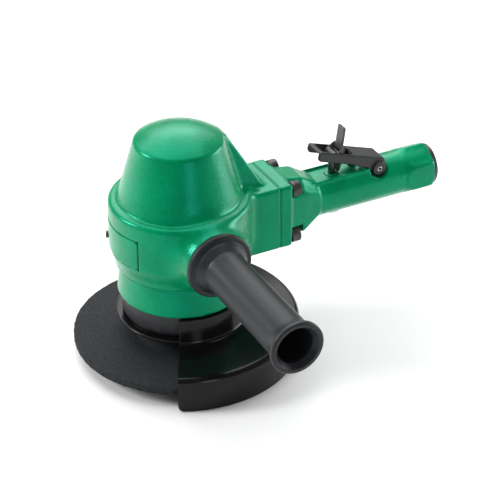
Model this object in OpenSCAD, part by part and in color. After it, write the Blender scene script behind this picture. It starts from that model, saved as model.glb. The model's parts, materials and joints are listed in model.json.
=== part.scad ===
// Air-driven vertical grinder for a depressed-centre wheel, as separate parts.
// Millimetres. +Z up along the spindle, +X along the throttle handle, -Y along the side handle.
// The origin is the centre of the spindle's free lower end face.

/* [Grinding wheel] */
// Outside diameter of the wheel
wheel_d = 180; // [125:1:230]
// Thickness of the wheel
wheel_t = 6.7; // [4:0.1:9]
// How far the hub is set back from the working face
wheel_dish = 5.5; // [3:0.1:8]
// Bore of the wheel
wheel_bore_d = 22.23; // [20:0.01:25.4]
// Radius of the flat hub
hub_r = 30; // [26:0.5:36]
// Working face below the spindle end
face_drop = 1.4; // [0.5:0.1:4]

/* [Wheel clamp] */
// Thread diameter of the spindle nose
nose_d = 14; // [10:1:16]
// Thickness of the inner flange outside the wheel bore
flange_t = 6.2; // [4:0.1:10]
// Radius of the inner flange
flange_r = 22.5; // [18:0.5:26]
// Radius of the clamp nut
nut_r = 20; // [16:0.5:24]
// Gap around the flange pilots in the wheel bore
pilot_gap = 0.06; // [0.02:0.01:0.2]

/* [Wheel guard] */
// Sheet thickness of the guard
guard_t = 2.5; // [1.5:0.1:4]
// Gap between the wheel rim and the guard skirt
guard_gap = 4.2; // [3:0.1:10]
// How far the skirt reaches below the working face
guard_drop = 11.1; // [6:0.1:20]
// Outside bend radius of the skirt
guard_bend = 5; // [3:0.5:10]
// Rise of the skirt top above the working face
guard_rise = 19.7; // [16:0.1:30]
// Rise of the cover plate from skirt to collar
guard_cone = 3.9; // [1:0.1:8]
// Outside radius of the guard collar and ring
collar_r = 54; // [50:0.5:60]
// Start angle of the half that is covered
guard_turn = -118; // [-180:1:180]
// Radius of the circle of guard screws
guard_pcd_r = 41.5; // [38:0.5:43]

/* [Motor housing] */
// Radius of the housing at its lower edge
band_r = 52.1; // [49:0.1:60]
// Radius of the housing at the top of its lower band
band_top_r = 49.2; // [47:0.1:56]
// Height of the lower band
band_h = 26.3; // [20:0.1:35]
// Radius of the main body
body_r = 57.3; // [54:0.1:66]
// Height of the main body above the band
body_h = 57.8; // [50:0.1:75]
// Radius of the bell at its base
bell_r0 = 49.4; // [44:0.1:53]
// Radius of the bell at its top edge
bell_r1 = 35.8; // [30:0.1:44]
// Height of the bell up to its edge
bell_h = 50; // [48:0.1:70]
// Rise of the domed top
dome_h = 10.5; // [6:0.5:20]
// Wall of the bell
bell_wall = 8; // [4:0.5:10]
// Radius of the bore that holds the motor
motor_r = 44; // [40:0.5:46]

/* [Bearing cap] */
// Radius of the bearing cap
cap_r = 48.6; // [47.5:0.1:50]
// Visible height of the bearing cap
cap_h = 20.4; // [18:0.1:26]
// Height of its spigot inside the housing
spigot_h = 5.8; // [4:0.1:8]

/* [Motor] */
// Radius of the rotor
rotor_r = 33; // [28:0.5:35]
// Bore radius of the cylinder liner
liner_bore_r = 36.6; // [32:0.1:39]
// Offset of the liner bore
liner_offset = 3.2; // [1:0.1:4]
// Length of the cylinder liner
liner_h = 52; // [40:1:60]
// Thickness of each end plate web
plate_t = 8; // [6:0.5:12]
// Number of vanes
vane_count = 5; // [4:1:6]
// Thickness of a vane
vane_t = 3.8; // [2:0.1:5]
// Running gap between turning and fixed parts
run_gap = 0.05; // [0.02:0.01:0.1]

/* [Bearings] */
// Shaft radius in the lower bearing
low_shaft_r = 10; // [8:0.5:12]
// Outside radius of the lower bearing
low_bearing_r = 23.5; // [20:0.5:26]
// Width of the lower bearing
low_bearing_w = 14; // [10:1:16]
// Shaft radius in the upper bearing
top_shaft_r = 8.5; // [7:0.5:9]
// Outside radius of the upper bearing
top_bearing_r = 20; // [17:0.5:22]
// Width of the upper bearing
top_bearing_w = 12; // [9:1:14]

/* [Governor] */
// Shaft radius inside the governor
gov_shaft_r = 6; // [4:0.5:7]
// Distance of the weight pivots from the axis
gov_pivot_x = 14; // [13:0.5:16]
// Height of a governor weight
gov_weight_h = 15; // [10:1:18]

/* [Neck and flange] */
// Half width of the neck
neck_half_w = 26; // [24:0.5:28]
// Height of the neck
neck_h = 57; // [54:0.5:58]
// Height of the neck centre above the housing's lower edge
neck_rise = 52.8; // [50:0.1:60]
// Distance of the neck face from the spindle axis
neck_x = 77.4; // [74:0.1:95]
// Thickness of the gasket
gasket_t = 0.8; // [0.4:0.1:2]
// Thickness of the handle flange
handle_flange_t = 11.3; // [8:0.1:16]
// Half spacing of the flange screws across
screw_half_y = 19.5; // [18:0.5:21]
// Half spacing of the flange screws up and down
screw_half_z = 21.5; // [20:0.5:23]
// Thread diameter of the flange screws
screw_d = 8; // [6:1:8]

/* [Throttle handle] */
// Grip centre below the neck centre
grip_drop = 1.5; // [0:0.1:4]
// Radius of the grip
grip_r = 18.7; // [17:0.1:22]
// Half width of the grip
grip_half_w = 17.9; // [16.5:0.1:21]
// Length of the funnel between flange and grip
funnel_l = 29.5; // [24:0.5:40]
// Length from the flange to the inlet boss
grip_l = 113; // [107:0.5:145]
// Length of the hexagonal inlet boss
boss_l = 26.5; // [22:0.5:32]
// Corner radius of the inlet boss
boss_r = 21.3; // [20:0.1:24]
// Length over which the boss rises to its full corners
boss_taper = 8; // [4:0.5:10]
// Top of the pad above the grip centre
pad_rise = 17.5; // [16:0.1:20]
// Floor of the lever pocket above the grip centre
pocket_rise = 15.5; // [13:0.1:16]

/* [Throttle lever] */
// Distance of the lever pivot from the flange's outer face
pivot_from_flange = 88.8; // [84:0.1:95]
// Height of the pivot above the grip centre
pivot_rise = 14.9; // [14:0.1:16]
// Slope of the lever at rest
lever_slope = 18.8; // [17:0.1:21]
// Length of the lever from its pivot
lever_l = 62.2; // [58:0.1:70]
// Height of the top plate above the pivot
lever_top = 9.1; // [8.6:0.1:10]
// Half width of the lever
lever_half_w = 10.2; // [9.8:0.1:11]
// Sheet thickness of the lever
lever_t = 2; // [1.5:0.1:2.2]
// Diameter of the lever pin
lever_pin_d = 5; // [4:0.1:6]
// Distance of the latch pin from the lever pivot
latch_arm = 43.3; // [40:0.1:46]
// Height of the latch pin in the lever's own frame
latch_rise = 5; // [4:0.1:5.5]
// Diameter of the latch pin
latch_pin_d = 3; // [2:0.1:3.5]

/* [Throttle valve] */
// Diameter of the plunger
plunger_d = 6; // [5:0.1:7]
// Radius of the poppet
poppet_r = 7; // [6:0.1:7.5]
// Radius of the valve chamber
chamber_r = 8.5; // [8:0.1:9]

/* [Air inlet] */
// Minor radius of the inlet thread
inlet_r = 7.5; // [5:0.1:9]
// Length of the inlet thread
inlet_l = 14; // [10:0.5:16]
// Radius of the bushing collar
bushing_r = 17.6; // [16:0.1:18]
// Thickness of the bushing collar
bushing_t = 3.8; // [2:0.1:6]

/* [Side handle] */
// Height of the side handle above the housing's lower edge
side_rise = 56.5; // [52:0.1:62]
// Distance of the boss face from the spindle axis
side_boss_l = 67; // [64:0.5:80]
// Radius of the boss at its face
side_boss_r = 25.5; // [22:0.5:27]
// Radius of the handle's inner collar
side_collar_r = 27.3; // [24:0.1:32]
// Radius of the grip tube
side_tube_r = 17.5; // [16:0.1:22]
// Length of the side handle
side_l = 129.5; // [100:0.5:160]
// Radius of the end lip
side_lip_r = 21.8; // [20:0.1:28]
// Radius of the hollow
side_bore_r = 14.5; // [11:0.1:15]
// Thread diameter of its bolt
side_bolt_d = 12; // [8:1:14]

/* [Hidden] */
$fn = 96;
// Cuts pass this far through a face.
cut = 1;

// Heights up the spindle.
face_z = -face_drop;
rim_top_z = face_z + wheel_t;
hub_z0 = face_z + wheel_dish;
hub_z1 = hub_z0 + wheel_t;
shoulder_z = hub_z1 + flange_t;
foot_z = face_z - guard_drop;
skirt_top_z = face_z + guard_rise;
collar_foot = 3.6;
ring_z = skirt_top_z + guard_cone + collar_foot - guard_t;
cap_z = ring_z + guard_t;
housing_z = cap_z + cap_h;
spigot_z = housing_z + spigot_h;
liner_z = spigot_z + plate_t;
liner_top_z = liner_z + liner_h;
bearing_floor = 2;
top_plate_z = liner_top_z + bearing_floor + top_bearing_w;
ledge_z = housing_z + band_h + body_h;
bell_z = ledge_z + bell_h;
cap_lip = 4;
low_bearing_z = spigot_z - cap_lip - low_bearing_w;
top_bearing_z = liner_top_z + bearing_floor;

// The wheel guard.
guard_in_r = wheel_d / 2 + guard_gap;
guard_r = guard_in_r + guard_t;
ring_in_r = 36;
guard_screw_r = 2.5;
guard_screw_l = 9;
guard_head_h = 3;

// The neck and the handle.
screw_head_r = screw_d * 0.81;
screw_reach = 16;
port_r = 8;
neck_z = housing_z + neck_rise;
neck_top_z = neck_z + neck_h / 2;
fin_x0 = 20;
flange_x = neck_x + gasket_t;
flange_end = flange_x + handle_flange_t;
grip_z = neck_z - grip_drop;
funnel_end = flange_end + funnel_l;
boss_x = flange_end + grip_l;
handle_end = boss_x + boss_l;
inlet_x = handle_end + bushing_t;
sleeve_r = 12;
strainer_t = 2;
sleeve_l = inlet_l + 2 * strainer_t - bushing_t;
pad_half_w = lever_half_w + 2.4;
pocket_half_w = lever_half_w + 0.5;

// The lever, its latch and the valve.
pivot_x = flange_end + pivot_from_flange;
pivot_z = grip_z + pivot_rise;
lug_half_w = lever_half_w - lever_t - 0.5;
ear_r = 6.6;
ear_room_r = ear_r + 0.9;
boss_disc_r = 6.2;
boss_disc_t = 2.4;
latch_x = pivot_x - latch_arm * cos(lever_slope) + latch_rise * sin(lever_slope);
latch_z = pivot_z + latch_arm * sin(lever_slope) + latch_rise * cos(lever_slope);
latch_half_w = lever_half_w - lever_t - 0.2;
floor_z = grip_z + pocket_rise;
hub_tube_r = 3;
plunger_top_z = latch_z - hub_tube_r - 0.4;
poppet_z = grip_z - 6;
poppet_t = 3.5;
seat_z = poppet_z + poppet_t;
valve_cap_z = grip_z - grip_r + 0.5;
spring_z = valve_cap_z + 5;

// The side handle.
side_z = housing_z + side_rise;
side_end = side_boss_l + side_l;
side_web = 21;
side_root_r = 40;

// The governor.
gov_z = top_plate_z + 5;
gov_pivot_z = gov_z + 12;
gov_pin_r = 1.5;
gov_disc_r = 18;
gov_fork_y = 5.7;
gov_fork_t = 2.6;
gov_half_w = 4;
gov_rim_t = 2.4;
gov_nut_h = 5;
gov_hub_h = 11;
sleeve_z = gov_pivot_z + 1.8;
gov_top_z = sleeve_z + 33;

casting = [0.05, 0.56, 0.38];
black = [0.09, 0.09, 0.10];
dark_steel = [0.25, 0.25, 0.26];
steel = [0.62, 0.63, 0.64];

// Points along an arc from angle a0 to a1 about (x, y).
function arc(x, y, r, a0, a1, n) =
    [for (i = [0 : n]) let (a = a0 + (a1 - a0) * i / n) [x + r * cos(a), y + r * sin(a)]];

// A ring around Z from z0 to z1.
module ring(r_out, r_in, z0, z1) {
    difference() {
        translate([0, 0, z0])
            cylinder(r = r_out, h = z1 - z0);
        translate([0, 0, z0 - cut])
            cylinder(r = r_in, h = z1 - z0 + 2 * cut);
    }
}

// A round bar along X.
module bar_x(x0, x1, y, z, r, sides = 96) {
    translate([x0, y, z])
        rotate([0, 90, 0])
            cylinder(r = r, h = x1 - x0, $fn = sides);
}

// A round bar along Y, centred on y = 0.
module bar_y(x, z, r, half_l) {
    translate([x, half_l, z])
        rotate([90, 0, 0])
            cylinder(r = r, h = 2 * half_l);
}

// A box given by its corners.
module box(low, high) {
    translate(low)
        cube(high - low);
}

// An outline in the YZ plane carried along X.
module along_x(x0, x1) {
    translate([x0, 0, 0])
        rotate([90, 0, 90])
            linear_extrude(height = x1 - x0)
                children();
}

// A rectangle with round corners, centred on (x, y).
module round_rect(x, y, half_w, half_h, r) {
    translate([x, y]) {
        square([2 * half_w - 2 * r, 2 * half_h], center = true);
        square([2 * half_w, 2 * half_h - 2 * r], center = true);
        for (sx = [-1, 1], sy = [-1, 1])
            translate([sx * (half_w - r), sy * (half_h - r)])
                circle(r = r);
    }
}

// Places for the four flange screws.
module at_flange_screws() {
    for (sy = [-1, 1], sz = [-1, 1])
        translate([0, sy * screw_half_y, neck_z + sz * screw_half_z])
            children();
}

// Places for the four guard screws.
module at_guard_screws() {
    for (a = [45 : 90 : 315])
        rotate(a)
            translate([guard_pcd_r, 0, 0])
                children();
}

// A coil spring along Z as a closed tube, from z0 to z1.
module coil(r, wire, z0, z1) {
    ring(r + wire / 2, r - wire / 2, z0, z1);
}

// ---------------------------------------------------------------- housing

bulge_h = 19;
ledge_round = 3.8;

module housing_outline() {
    rise_z = housing_z + band_h;
    dome_r = (bell_r1 * bell_r1 + dome_h * dome_h) / (2 * dome_h);
    polygon(concat(
        [[0, housing_z], [band_r, housing_z], [band_top_r, rise_z - 1.2]],
        [for (i = [0 : 5]) let (t = i / 5)
            [band_r + 1.1 + (body_r - band_r - 1.1) * (1 - cos(180 * t)) / 2, rise_z + bulge_h * t]],
        arc(body_r - ledge_round, ledge_z - ledge_round, ledge_round, 0, 90, 5),
        [[bell_r0 + 1, ledge_z], [bell_r0, ledge_z + 1.5], [bell_r1 + 0.4, bell_z - 1.2]],
        [for (i = [0 : 8]) let (a = asin((bell_r1 - 0.6) / dome_r) * (1 - i / 8))
            [dome_r * sin(a), bell_z + dome_h - dome_r * (1 - cos(a))]]
    ));
}

module housing_cavity() {
    rotate_extrude()
        polygon([
            [0, housing_z - cut], [cap_r - 3, housing_z - cut], [cap_r - 3, spigot_z],
            [motor_r + run_gap, spigot_z], [motor_r + run_gap, top_plate_z + run_gap],
            [bell_r0 - bell_wall - 3, top_plate_z + run_gap], [bell_r1 - bell_wall, bell_z - 5],
            [bell_r1 / 2, bell_z + 2], [0, bell_z + 4]
        ]);
}

// Window behind the cover plate, measured from the -X side.
cover_z = housing_z + band_h + 16.5;
cover_h = 25;
cover_a0 = 118;
cover_a1 = 208.8;
cover_seat_r = body_r - 2.2;
cover_groove = 0.6;
cover_screw_a = cover_a0 + 35.5;
cover_screw_z = cover_z + 5;
cover_screw_r = 2;
exhaust_a = cover_a0 + 16;
exhaust_edge = 5;
exhaust_half_w = 8;
slot_half_w = 0.9;

module curved_plate(r0, r1, a0, a1, z0, z1) {
    rotate(a0)
        rotate_extrude(angle = a1 - a0)
            translate([r0, z0])
                square([r1 - r0, z1 - z0]);
}

module motor_housing() {
    color(casting)
        difference() {
            union() {
                rotate_extrude()
                    housing_outline();
                along_x(20, neck_x)
                    round_rect(0, neck_z, neck_half_w, neck_h / 2, 3);
                translate([0, 0, side_z])
                    rotate([90, 0, 0])
                        cylinder(r1 = side_root_r, r2 = side_boss_r, h = side_boss_l);
                hull() {
                    box([fin_x0, -9, bell_z - 7], [bell_r1 + 2, 9, bell_z - 1.5]);
                    box([fin_x0, -15, neck_top_z - 3], [neck_x - 8.5, 15, neck_top_z - 1]);
                }
            }
            housing_cavity();
            bar_x(20, neck_x + cut, 0, neck_z, port_r);
            at_flange_screws()
                bar_x(neck_x - screw_reach, neck_x + cut, 0, 0, screw_d / 2);
            translate([0, -side_boss_l - cut, side_z])
                rotate([-90, 0, 0])
                    cylinder(r = side_bolt_d / 2, h = 20);
            curved_plate(cover_seat_r, body_r + 8, cover_a0 - cover_groove, cover_a1 + cover_groove,
                cover_z - cover_groove, cover_z + cover_h + cover_groove);
            rotate(exhaust_a)
                box([motor_r - 6, -exhaust_half_w, cover_z + exhaust_edge],
                    [body_r + cut, exhaust_half_w, cover_z + cover_h - exhaust_edge]);
            rotate(cover_screw_a)
                bar_x(motor_r + 4, body_r + cut, 0, cover_screw_z, cover_screw_r);
        }
}

module exhaust_cover() {
    color(casting)
        difference() {
            curved_plate(cover_seat_r, body_r + 0.3, cover_a0, cover_a1, cover_z, cover_z + cover_h);
            rotate(cover_screw_a)
                bar_x(motor_r, body_r + 5, 0, cover_screw_z, cover_screw_r + run_gap);
            for (a = [-6 : 4 : 6])
                rotate(exhaust_a + a)
                    box([motor_r, -slot_half_w, cover_z + exhaust_edge + 1],
                        [body_r + 5, slot_half_w, cover_z + cover_h - exhaust_edge - 1]);
        }
}

module cover_screw() {
    color(black)
        rotate(cover_screw_a)
            union() {
                bar_x(motor_r + 5, body_r + 0.3, 0, cover_screw_z, cover_screw_r);
                difference() {
                    bar_x(body_r + 0.3, body_r + 2.3, 0, cover_screw_z, 3);
                    bar_x(body_r + 1, body_r + 4, 0, cover_screw_z, 1.5, 6);
                }
            }
}

// ---------------------------------------------------------------- nose: cap, seal, guard

seal_r = 15;
cap_step_h = 2.5;

module bearing_cap() {
    color(dark_steel)
        difference() {
            rotate_extrude()
                polygon([
                    [low_shaft_r + 3, cap_z], [cap_r - 1.6, cap_z], [cap_r - 1.6, cap_z + cap_step_h],
                    [cap_r, cap_z + cap_step_h + 0.6], [cap_r, housing_z], [cap_r - 3.1, housing_z],
                    [cap_r - 3.1, spigot_z], [low_bearing_r + 3, spigot_z],
                    [low_bearing_r + 3, low_bearing_z + low_bearing_w + 1],
                    [low_bearing_r, low_bearing_z + low_bearing_w + 1], [low_bearing_r, low_bearing_z],
                    [seal_r, low_bearing_z], [seal_r, cap_z + 1], [low_shaft_r + 3, cap_z + 1]
                ]);
            at_guard_screws()
                translate([0, 0, cap_z - cut])
                    cylinder(r = guard_screw_r, h = guard_screw_l + cut);
        }
}

module spindle_seal() {
    color(black)
        ring(seal_r, low_shaft_r + run_gap, cap_z + 1, low_bearing_z);
}

// Half section of the covered part, from the skirt's foot to the collar's top.
module guard_outline() {
    top_in = collar_r - guard_t;
    plate_z = skirt_top_z + guard_cone;
    b_in = guard_bend - guard_t;
    polygon(concat(
        [[guard_in_r, foot_z], [guard_r, foot_z]],
        arc(guard_r - guard_bend, skirt_top_z - guard_bend, guard_bend, 0, 84, 5),
        [[collar_r + 2, plate_z - 0.2], [collar_r, plate_z + 1.8], [collar_r, housing_z - 1]],
        [[top_in, housing_z - 1], [top_in, plate_z - guard_t]],
        [for (i = [5 : -1 : 0]) let (a = 84 * i / 5)
            [guard_r - guard_bend + b_in * cos(a), skirt_top_z - guard_bend + b_in * sin(a)]]
    ));
}

module wheel_guard() {
    color(black)
        difference() {
            union() {
                rotate(guard_turn)
                    rotate_extrude(angle = 180)
                        guard_outline();
                ring(collar_r - guard_t / 2, ring_in_r, ring_z, cap_z);
                ring(collar_r, collar_r - guard_t, ring_z, cap_z);
            }
            at_guard_screws()
                translate([0, 0, ring_z - cut])
                    cylinder(r = guard_screw_r + 0.2, h = guard_t + 2 * cut);
        }
}

module guard_screws() {
    color(steel)
        at_guard_screws()
            difference() {
                union() {
                    translate([0, 0, ring_z])
                        cylinder(r = guard_screw_r, h = guard_t + guard_screw_l);
                    translate([0, 0, ring_z - guard_head_h])
                        cylinder(r = guard_screw_r + 1.7, h = guard_head_h);
                }
                translate([0, 0, ring_z - guard_head_h - cut])
                    cylinder(r = 1.8, h = 1.8 + cut, $fn = 6);
            }
}

// ---------------------------------------------------------------- bearings

ball_count = 8;

function pitch_r(shaft_r, outer_r) = (shaft_r + outer_r) / 2;
function ball_r(shaft_r, outer_r) = (outer_r - shaft_r) * 0.28;
function race_t(shaft_r, outer_r) = (outer_r - shaft_r) * 0.3;

module bearing_outer(shaft_r, outer_r, z, w) {
    color(steel)
        difference() {
            ring(outer_r, outer_r - race_t(shaft_r, outer_r), z, z + w);
            rotate_extrude()
                translate([pitch_r(shaft_r, outer_r), z + w / 2])
                    circle(r = ball_r(shaft_r, outer_r) + run_gap);
        }
}

module bearing_inner(shaft_r, outer_r, z, w) {
    color(steel)
        difference() {
            ring(shaft_r + race_t(shaft_r, outer_r), shaft_r, z, z + w);
            rotate_extrude()
                translate([pitch_r(shaft_r, outer_r), z + w / 2])
                    circle(r = ball_r(shaft_r, outer_r) + run_gap);
        }
}

module bearing_balls(shaft_r, outer_r, z, w) {
    color(steel)
        for (i = [0 : ball_count - 1])
            rotate(i * 360 / ball_count)
                translate([pitch_r(shaft_r, outer_r), 0, z + w / 2])
                    sphere(r = ball_r(shaft_r, outer_r));
}

// ---------------------------------------------------------------- motor

module lower_end_plate() {
    color(steel)
        ring(motor_r, low_shaft_r + 0.6, spigot_z, liner_z);
}

module cylinder_liner() {
    color(steel)
        difference() {
            translate([0, 0, liner_z])
                cylinder(r = motor_r, h = liner_h);
            translate([0, liner_offset, liner_z - cut])
                cylinder(r = liner_bore_r, h = liner_h + 2 * cut);
            bar_x(20, motor_r + 5, 0, neck_z, 7);
            rotate(exhaust_a)
                for (dz = [-7, 0, 7])
                    bar_x(20, motor_r + 5, 0, cover_z + cover_h / 2 + dz, 2.6);
        }
}

retainer_t = 2;
retainer_screw_l = 8;

// Places for the three screws of the bearing retainer.
module at_retainer_screws() {
    for (a = [30 : 120 : 270])
        rotate(a)
            translate([top_bearing_r + 5, 0, 0])
                children();
}

module upper_end_plate() {
    color(steel)
        difference() {
            ring(motor_r, top_shaft_r + 1.2, liner_top_z, top_plate_z);
            translate([0, 0, top_bearing_z])
                cylinder(r = top_bearing_r, h = top_bearing_w + cut);
            at_retainer_screws()
                translate([0, 0, top_plate_z - retainer_screw_l])
                    cylinder(r = 1.5, h = retainer_screw_l + cut);
        }
}

module bearing_retainer() {
    color(dark_steel)
        difference() {
            ring(top_bearing_r + 9, top_shaft_r + 4, top_plate_z, top_plate_z + retainer_t);
            at_retainer_screws()
                translate([0, 0, top_plate_z - cut])
                    cylinder(r = 1.6, h = retainer_t + 2 * cut);
        }
}

module retainer_screws() {
    color(steel)
        at_retainer_screws() {
            translate([0, 0, top_plate_z - retainer_screw_l + 1])
                cylinder(r = 1.5, h = retainer_screw_l - 1 + retainer_t);
            translate([0, 0, top_plate_z + retainer_t])
                cylinder(r = 2.8, h = 2);
        }
}

slot_depth = 17;
end_gap = 0.4;

module rotor() {
    color(dark_steel)
        difference() {
            ring(rotor_r, low_shaft_r, liner_z + end_gap, liner_top_z - end_gap);
            for (i = [0 : vane_count - 1])
                rotate(i * 360 / vane_count)
                    box([rotor_r - slot_depth, -vane_t / 2 - run_gap, liner_z],
                        [rotor_r + cut, vane_t / 2 + run_gap, liner_top_z]);
        }
}

module rotor_vanes() {
    color([0.45, 0.33, 0.2])
        for (i = [0 : vane_count - 1])
            rotate(i * 360 / vane_count)
                box([rotor_r - slot_depth + 0.2, -vane_t / 2, liner_z + end_gap],
                    [rotor_r - 0.2, vane_t / 2, liner_top_z - end_gap]);
}

module spindle() {
    nose_r = nose_d / 2;
    color(steel)
        rotate_extrude()
            polygon([
                [0, 0], [nose_r - 0.8, 0], [nose_r, 0.8], [nose_r, shoulder_z],
                [low_shaft_r, shoulder_z], [low_shaft_r, liner_top_z - end_gap / 2],
                [top_shaft_r, liner_top_z - end_gap / 2], [top_shaft_r, gov_z], [gov_shaft_r, gov_z],
                [gov_shaft_r, gov_top_z + 1], [0, gov_top_z + 1]
            ]);
}

// ---------------------------------------------------------------- wheel and its clamp

module inner_flange() {
    color(steel)
        rotate_extrude()
            polygon([
                [nose_d / 2, hub_z0 + wheel_t / 2], [wheel_bore_d / 2 - pilot_gap, hub_z0 + wheel_t / 2],
                [wheel_bore_d / 2 - pilot_gap, hub_z1], [flange_r, hub_z1], [flange_r, hub_z1 + 3],
                [flange_r - 5, shoulder_z], [nose_d / 2, shoulder_z]
            ]);
}

module grinding_wheel() {
    dish_run = 10;
    edge = 0.8;
    color([0.17, 0.17, 0.18])
        rotate_extrude()
            polygon([
                [wheel_bore_d / 2, hub_z0], [hub_r - 2, hub_z0], [hub_r - 2 + dish_run, face_z],
                [wheel_d / 2 - edge, face_z], [wheel_d / 2, face_z + edge],
                [wheel_d / 2, rim_top_z - edge], [wheel_d / 2 - edge, rim_top_z],
                [hub_r + dish_run, rim_top_z], [hub_r, hub_z1], [wheel_bore_d / 2, hub_z1]
            ]);
}

module clamp_nut() {
    nut_t = 4.5;
    color(dark_steel)
        difference() {
            union() {
                ring(nut_r, nose_d / 2, hub_z0 - nut_t, hub_z0);
                ring(wheel_bore_d / 2 - pilot_gap, nose_d / 2, hub_z0 - 1, hub_z0 + wheel_t / 2 - 0.1);
            }
            for (a = [0 : 90 : 270])
                rotate(a)
                    translate([15, 0, hub_z0 - nut_t - cut])
                        cylinder(r = 2.4, h = 3.2 + cut);
        }
}

// ---------------------------------------------------------------- governor

module governor_carrier() {
    color(steel)
        difference() {
            union() {
                ring(gov_disc_r, gov_shaft_r, gov_z, gov_z + 8);
                for (sx = [-1, 1], sy = [-1, 1])
                    translate([sx * gov_pivot_x, sy * gov_fork_y, 0])
                        box([-3, -gov_fork_t / 2, gov_z + 6], [3, gov_fork_t / 2, gov_pivot_z + 3]);
            }
            for (sx = [-1, 1])
                bar_y(sx * gov_pivot_x, gov_pivot_z, gov_pin_r, 12);
        }
}

module governor_pins() {
    color(steel)
        for (sx = [-1, 1])
            bar_y(sx * gov_pivot_x, gov_pivot_z, gov_pin_r, 7);
}

module governor_weight(side) {
    color(dark_steel)
        translate([side * gov_pivot_x, 0, gov_pivot_z])
            difference() {
                union() {
                    bar_y(0, 0, 3, gov_half_w);
                    scale([side, 1, 1]) {
                        box([-1.6, -gov_half_w, 2], [5, gov_half_w, gov_weight_h + 2]);
                        box([-1.6, -gov_half_w, 0], [1.4, gov_half_w, 3]);
                        box([-6, -gov_half_w, -1], [0, gov_half_w, 1.4]);
                    }
                }
                bar_y(0, 0, gov_pin_r + run_gap, 5);
            }
}

module governor_sleeve() {
    color(steel)
        union() {
            ring(gov_pivot_x - 3, gov_shaft_r + run_gap, sleeve_z, sleeve_z + gov_rim_t);
            ring(gov_shaft_r + 2.5, gov_shaft_r + run_gap, sleeve_z, sleeve_z + gov_hub_h);
        }
}

module governor_spring() {
    color(steel)
        coil(gov_shaft_r + 1.6, 1.2, sleeve_z + gov_hub_h, gov_top_z - gov_nut_h);
}

module governor_nut() {
    color(steel)
        ring(gov_shaft_r + 3.5, gov_shaft_r, gov_top_z - gov_nut_h, gov_top_z);
}

// ---------------------------------------------------------------- throttle handle

module handle_gasket() {
    color(black)
        difference() {
            along_x(neck_x, flange_x)
                round_rect(0, neck_z, neck_half_w - 0.3, neck_h / 2 - 0.3, 3);
            bar_x(neck_x - cut, flange_x + cut, 0, neck_z, port_r);
            at_flange_screws()
                bar_x(neck_x - cut, flange_x + cut, 0, 0, screw_d / 2 + 0.25);
        }
}

// Eight-sided sections of the funnel: half widths and heights from the grip centre.
module funnel_section(x, top_w, top_z, side_w, side_z0, side_z1, low_z) {
    along_x(x, x + 0.01)
        polygon([
            [-top_w, grip_z + top_z], [top_w, grip_z + top_z], [side_w, grip_z + side_z1],
            [side_w, grip_z + side_z0], [top_w, grip_z + low_z], [-top_w, grip_z + low_z],
            [-side_w, grip_z + side_z0], [-side_w, grip_z + side_z1]
        ]);
}

module funnel_mid() {
    funnel_section(flange_end + funnel_l / 2, 11, 26, 20.3, -19.3, 14.3, -23);
}

// The boss is a hexagon whose corners rise from the grip over a cone.
module inlet_boss() {
    intersection() {
        bar_x(boss_x, handle_end, 0, grip_z, boss_r, 6);
        translate([0, 0, grip_z])
            rotate([0, 90, 0])
                rotate_extrude()
                    polygon([
                        [0, boss_x], [grip_r - 0.4, boss_x], [boss_r, boss_x + boss_taper],
                        [boss_r, handle_end - 4.5], [boss_r - 1.5, handle_end], [0, handle_end]
                    ]);
    }
}

module handle_body() {
    along_x(flange_x, flange_end)
        round_rect(0, neck_z, neck_half_w, neck_h / 2, 3);
    hull() {
        funnel_section(flange_end - 1, 11, 29.5, 22, -23, 16, -26);
        funnel_mid();
    }
    hull() {
        funnel_mid();
        funnel_section(funnel_end, 9, 17.5, grip_half_w, -9.5, 10.5, -16.4);
    }
    intersection() {
        bar_x(funnel_end - 3, boss_x + 2, 0, grip_z, grip_r);
        box([flange_x, -grip_half_w, grip_z - 30], [handle_end, grip_half_w, grip_z + 30]);
    }
    inlet_boss();
    box([funnel_end - 6, -pad_half_w, grip_z], [pivot_x - 9, pad_half_w, grip_z + pad_rise]);
    box([pivot_x - 12, -lug_half_w, grip_z], [pivot_x + 6, lug_half_w, grip_z + pad_rise]);
}

module handle_cuts() {
    deep_z = grip_z + 10.5;
    over_z = grip_z + 30;
    lug_x0 = pivot_x - 9;
    // Pocket under the lever, deeper beside the lug.
    box([funnel_end, -pocket_half_w, floor_z], [pivot_x - 20, pocket_half_w, over_z]);
    box([pivot_x - 20.5, -pocket_half_w, deep_z], [lug_x0 + cut, pocket_half_w, over_z]);
    // Relief under the rear edge of the lever's top plate.
    box([pivot_x + 2, -lug_half_w - cut, pivot_z + 2], [pivot_x + ear_room_r, lug_half_w + cut, over_z]);
    for (s = [-1, 1]) {
        translate([pivot_x, s * (lug_half_w + 10), pivot_z])
            rotate([90, 0, 0])
                cylinder(r = ear_room_r, h = 20, center = true);
        box([lug_x0, s > 0 ? lug_half_w : -20, deep_z],
            [pivot_x, s > 0 ? 20 : -lug_half_w, over_z]);
    }
    bar_y(pivot_x, pivot_z, lever_pin_d / 2, 30);
    // Air way from the inlet to the valve and on to the motor.
    bar_x(handle_end - sleeve_l, handle_end + cut, 0, grip_z, sleeve_r);
    bar_x(latch_x + 24, handle_end, 0, grip_z, 8.5);
    bar_x(latch_x, latch_x + 26, 0, poppet_z + 1, 4.5);
    bar_x(flange_x - cut, latch_x, 0, seat_z + 8.5, 6);
    // Valve chamber with its guide above and its cap below.
    translate([latch_x, 0, grip_z - 30])
        cylinder(r = chamber_r, h = seat_z - grip_z + 32);
    translate([latch_x, 0, seat_z])
        cylinder(r = 6, h = 40);
    // Flange screws and the pockets that their heads sit in.
    at_flange_screws() {
        bar_x(flange_x - cut, flange_end + cut, 0, 0, screw_d / 2 + 0.25);
        bar_x(flange_end, flange_end + screw_d + 4, 0, 0, screw_head_r + 1);
    }
}

module throttle_handle() {
    color(casting)
        difference() {
            handle_body();
            handle_cuts();
        }
}

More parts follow.
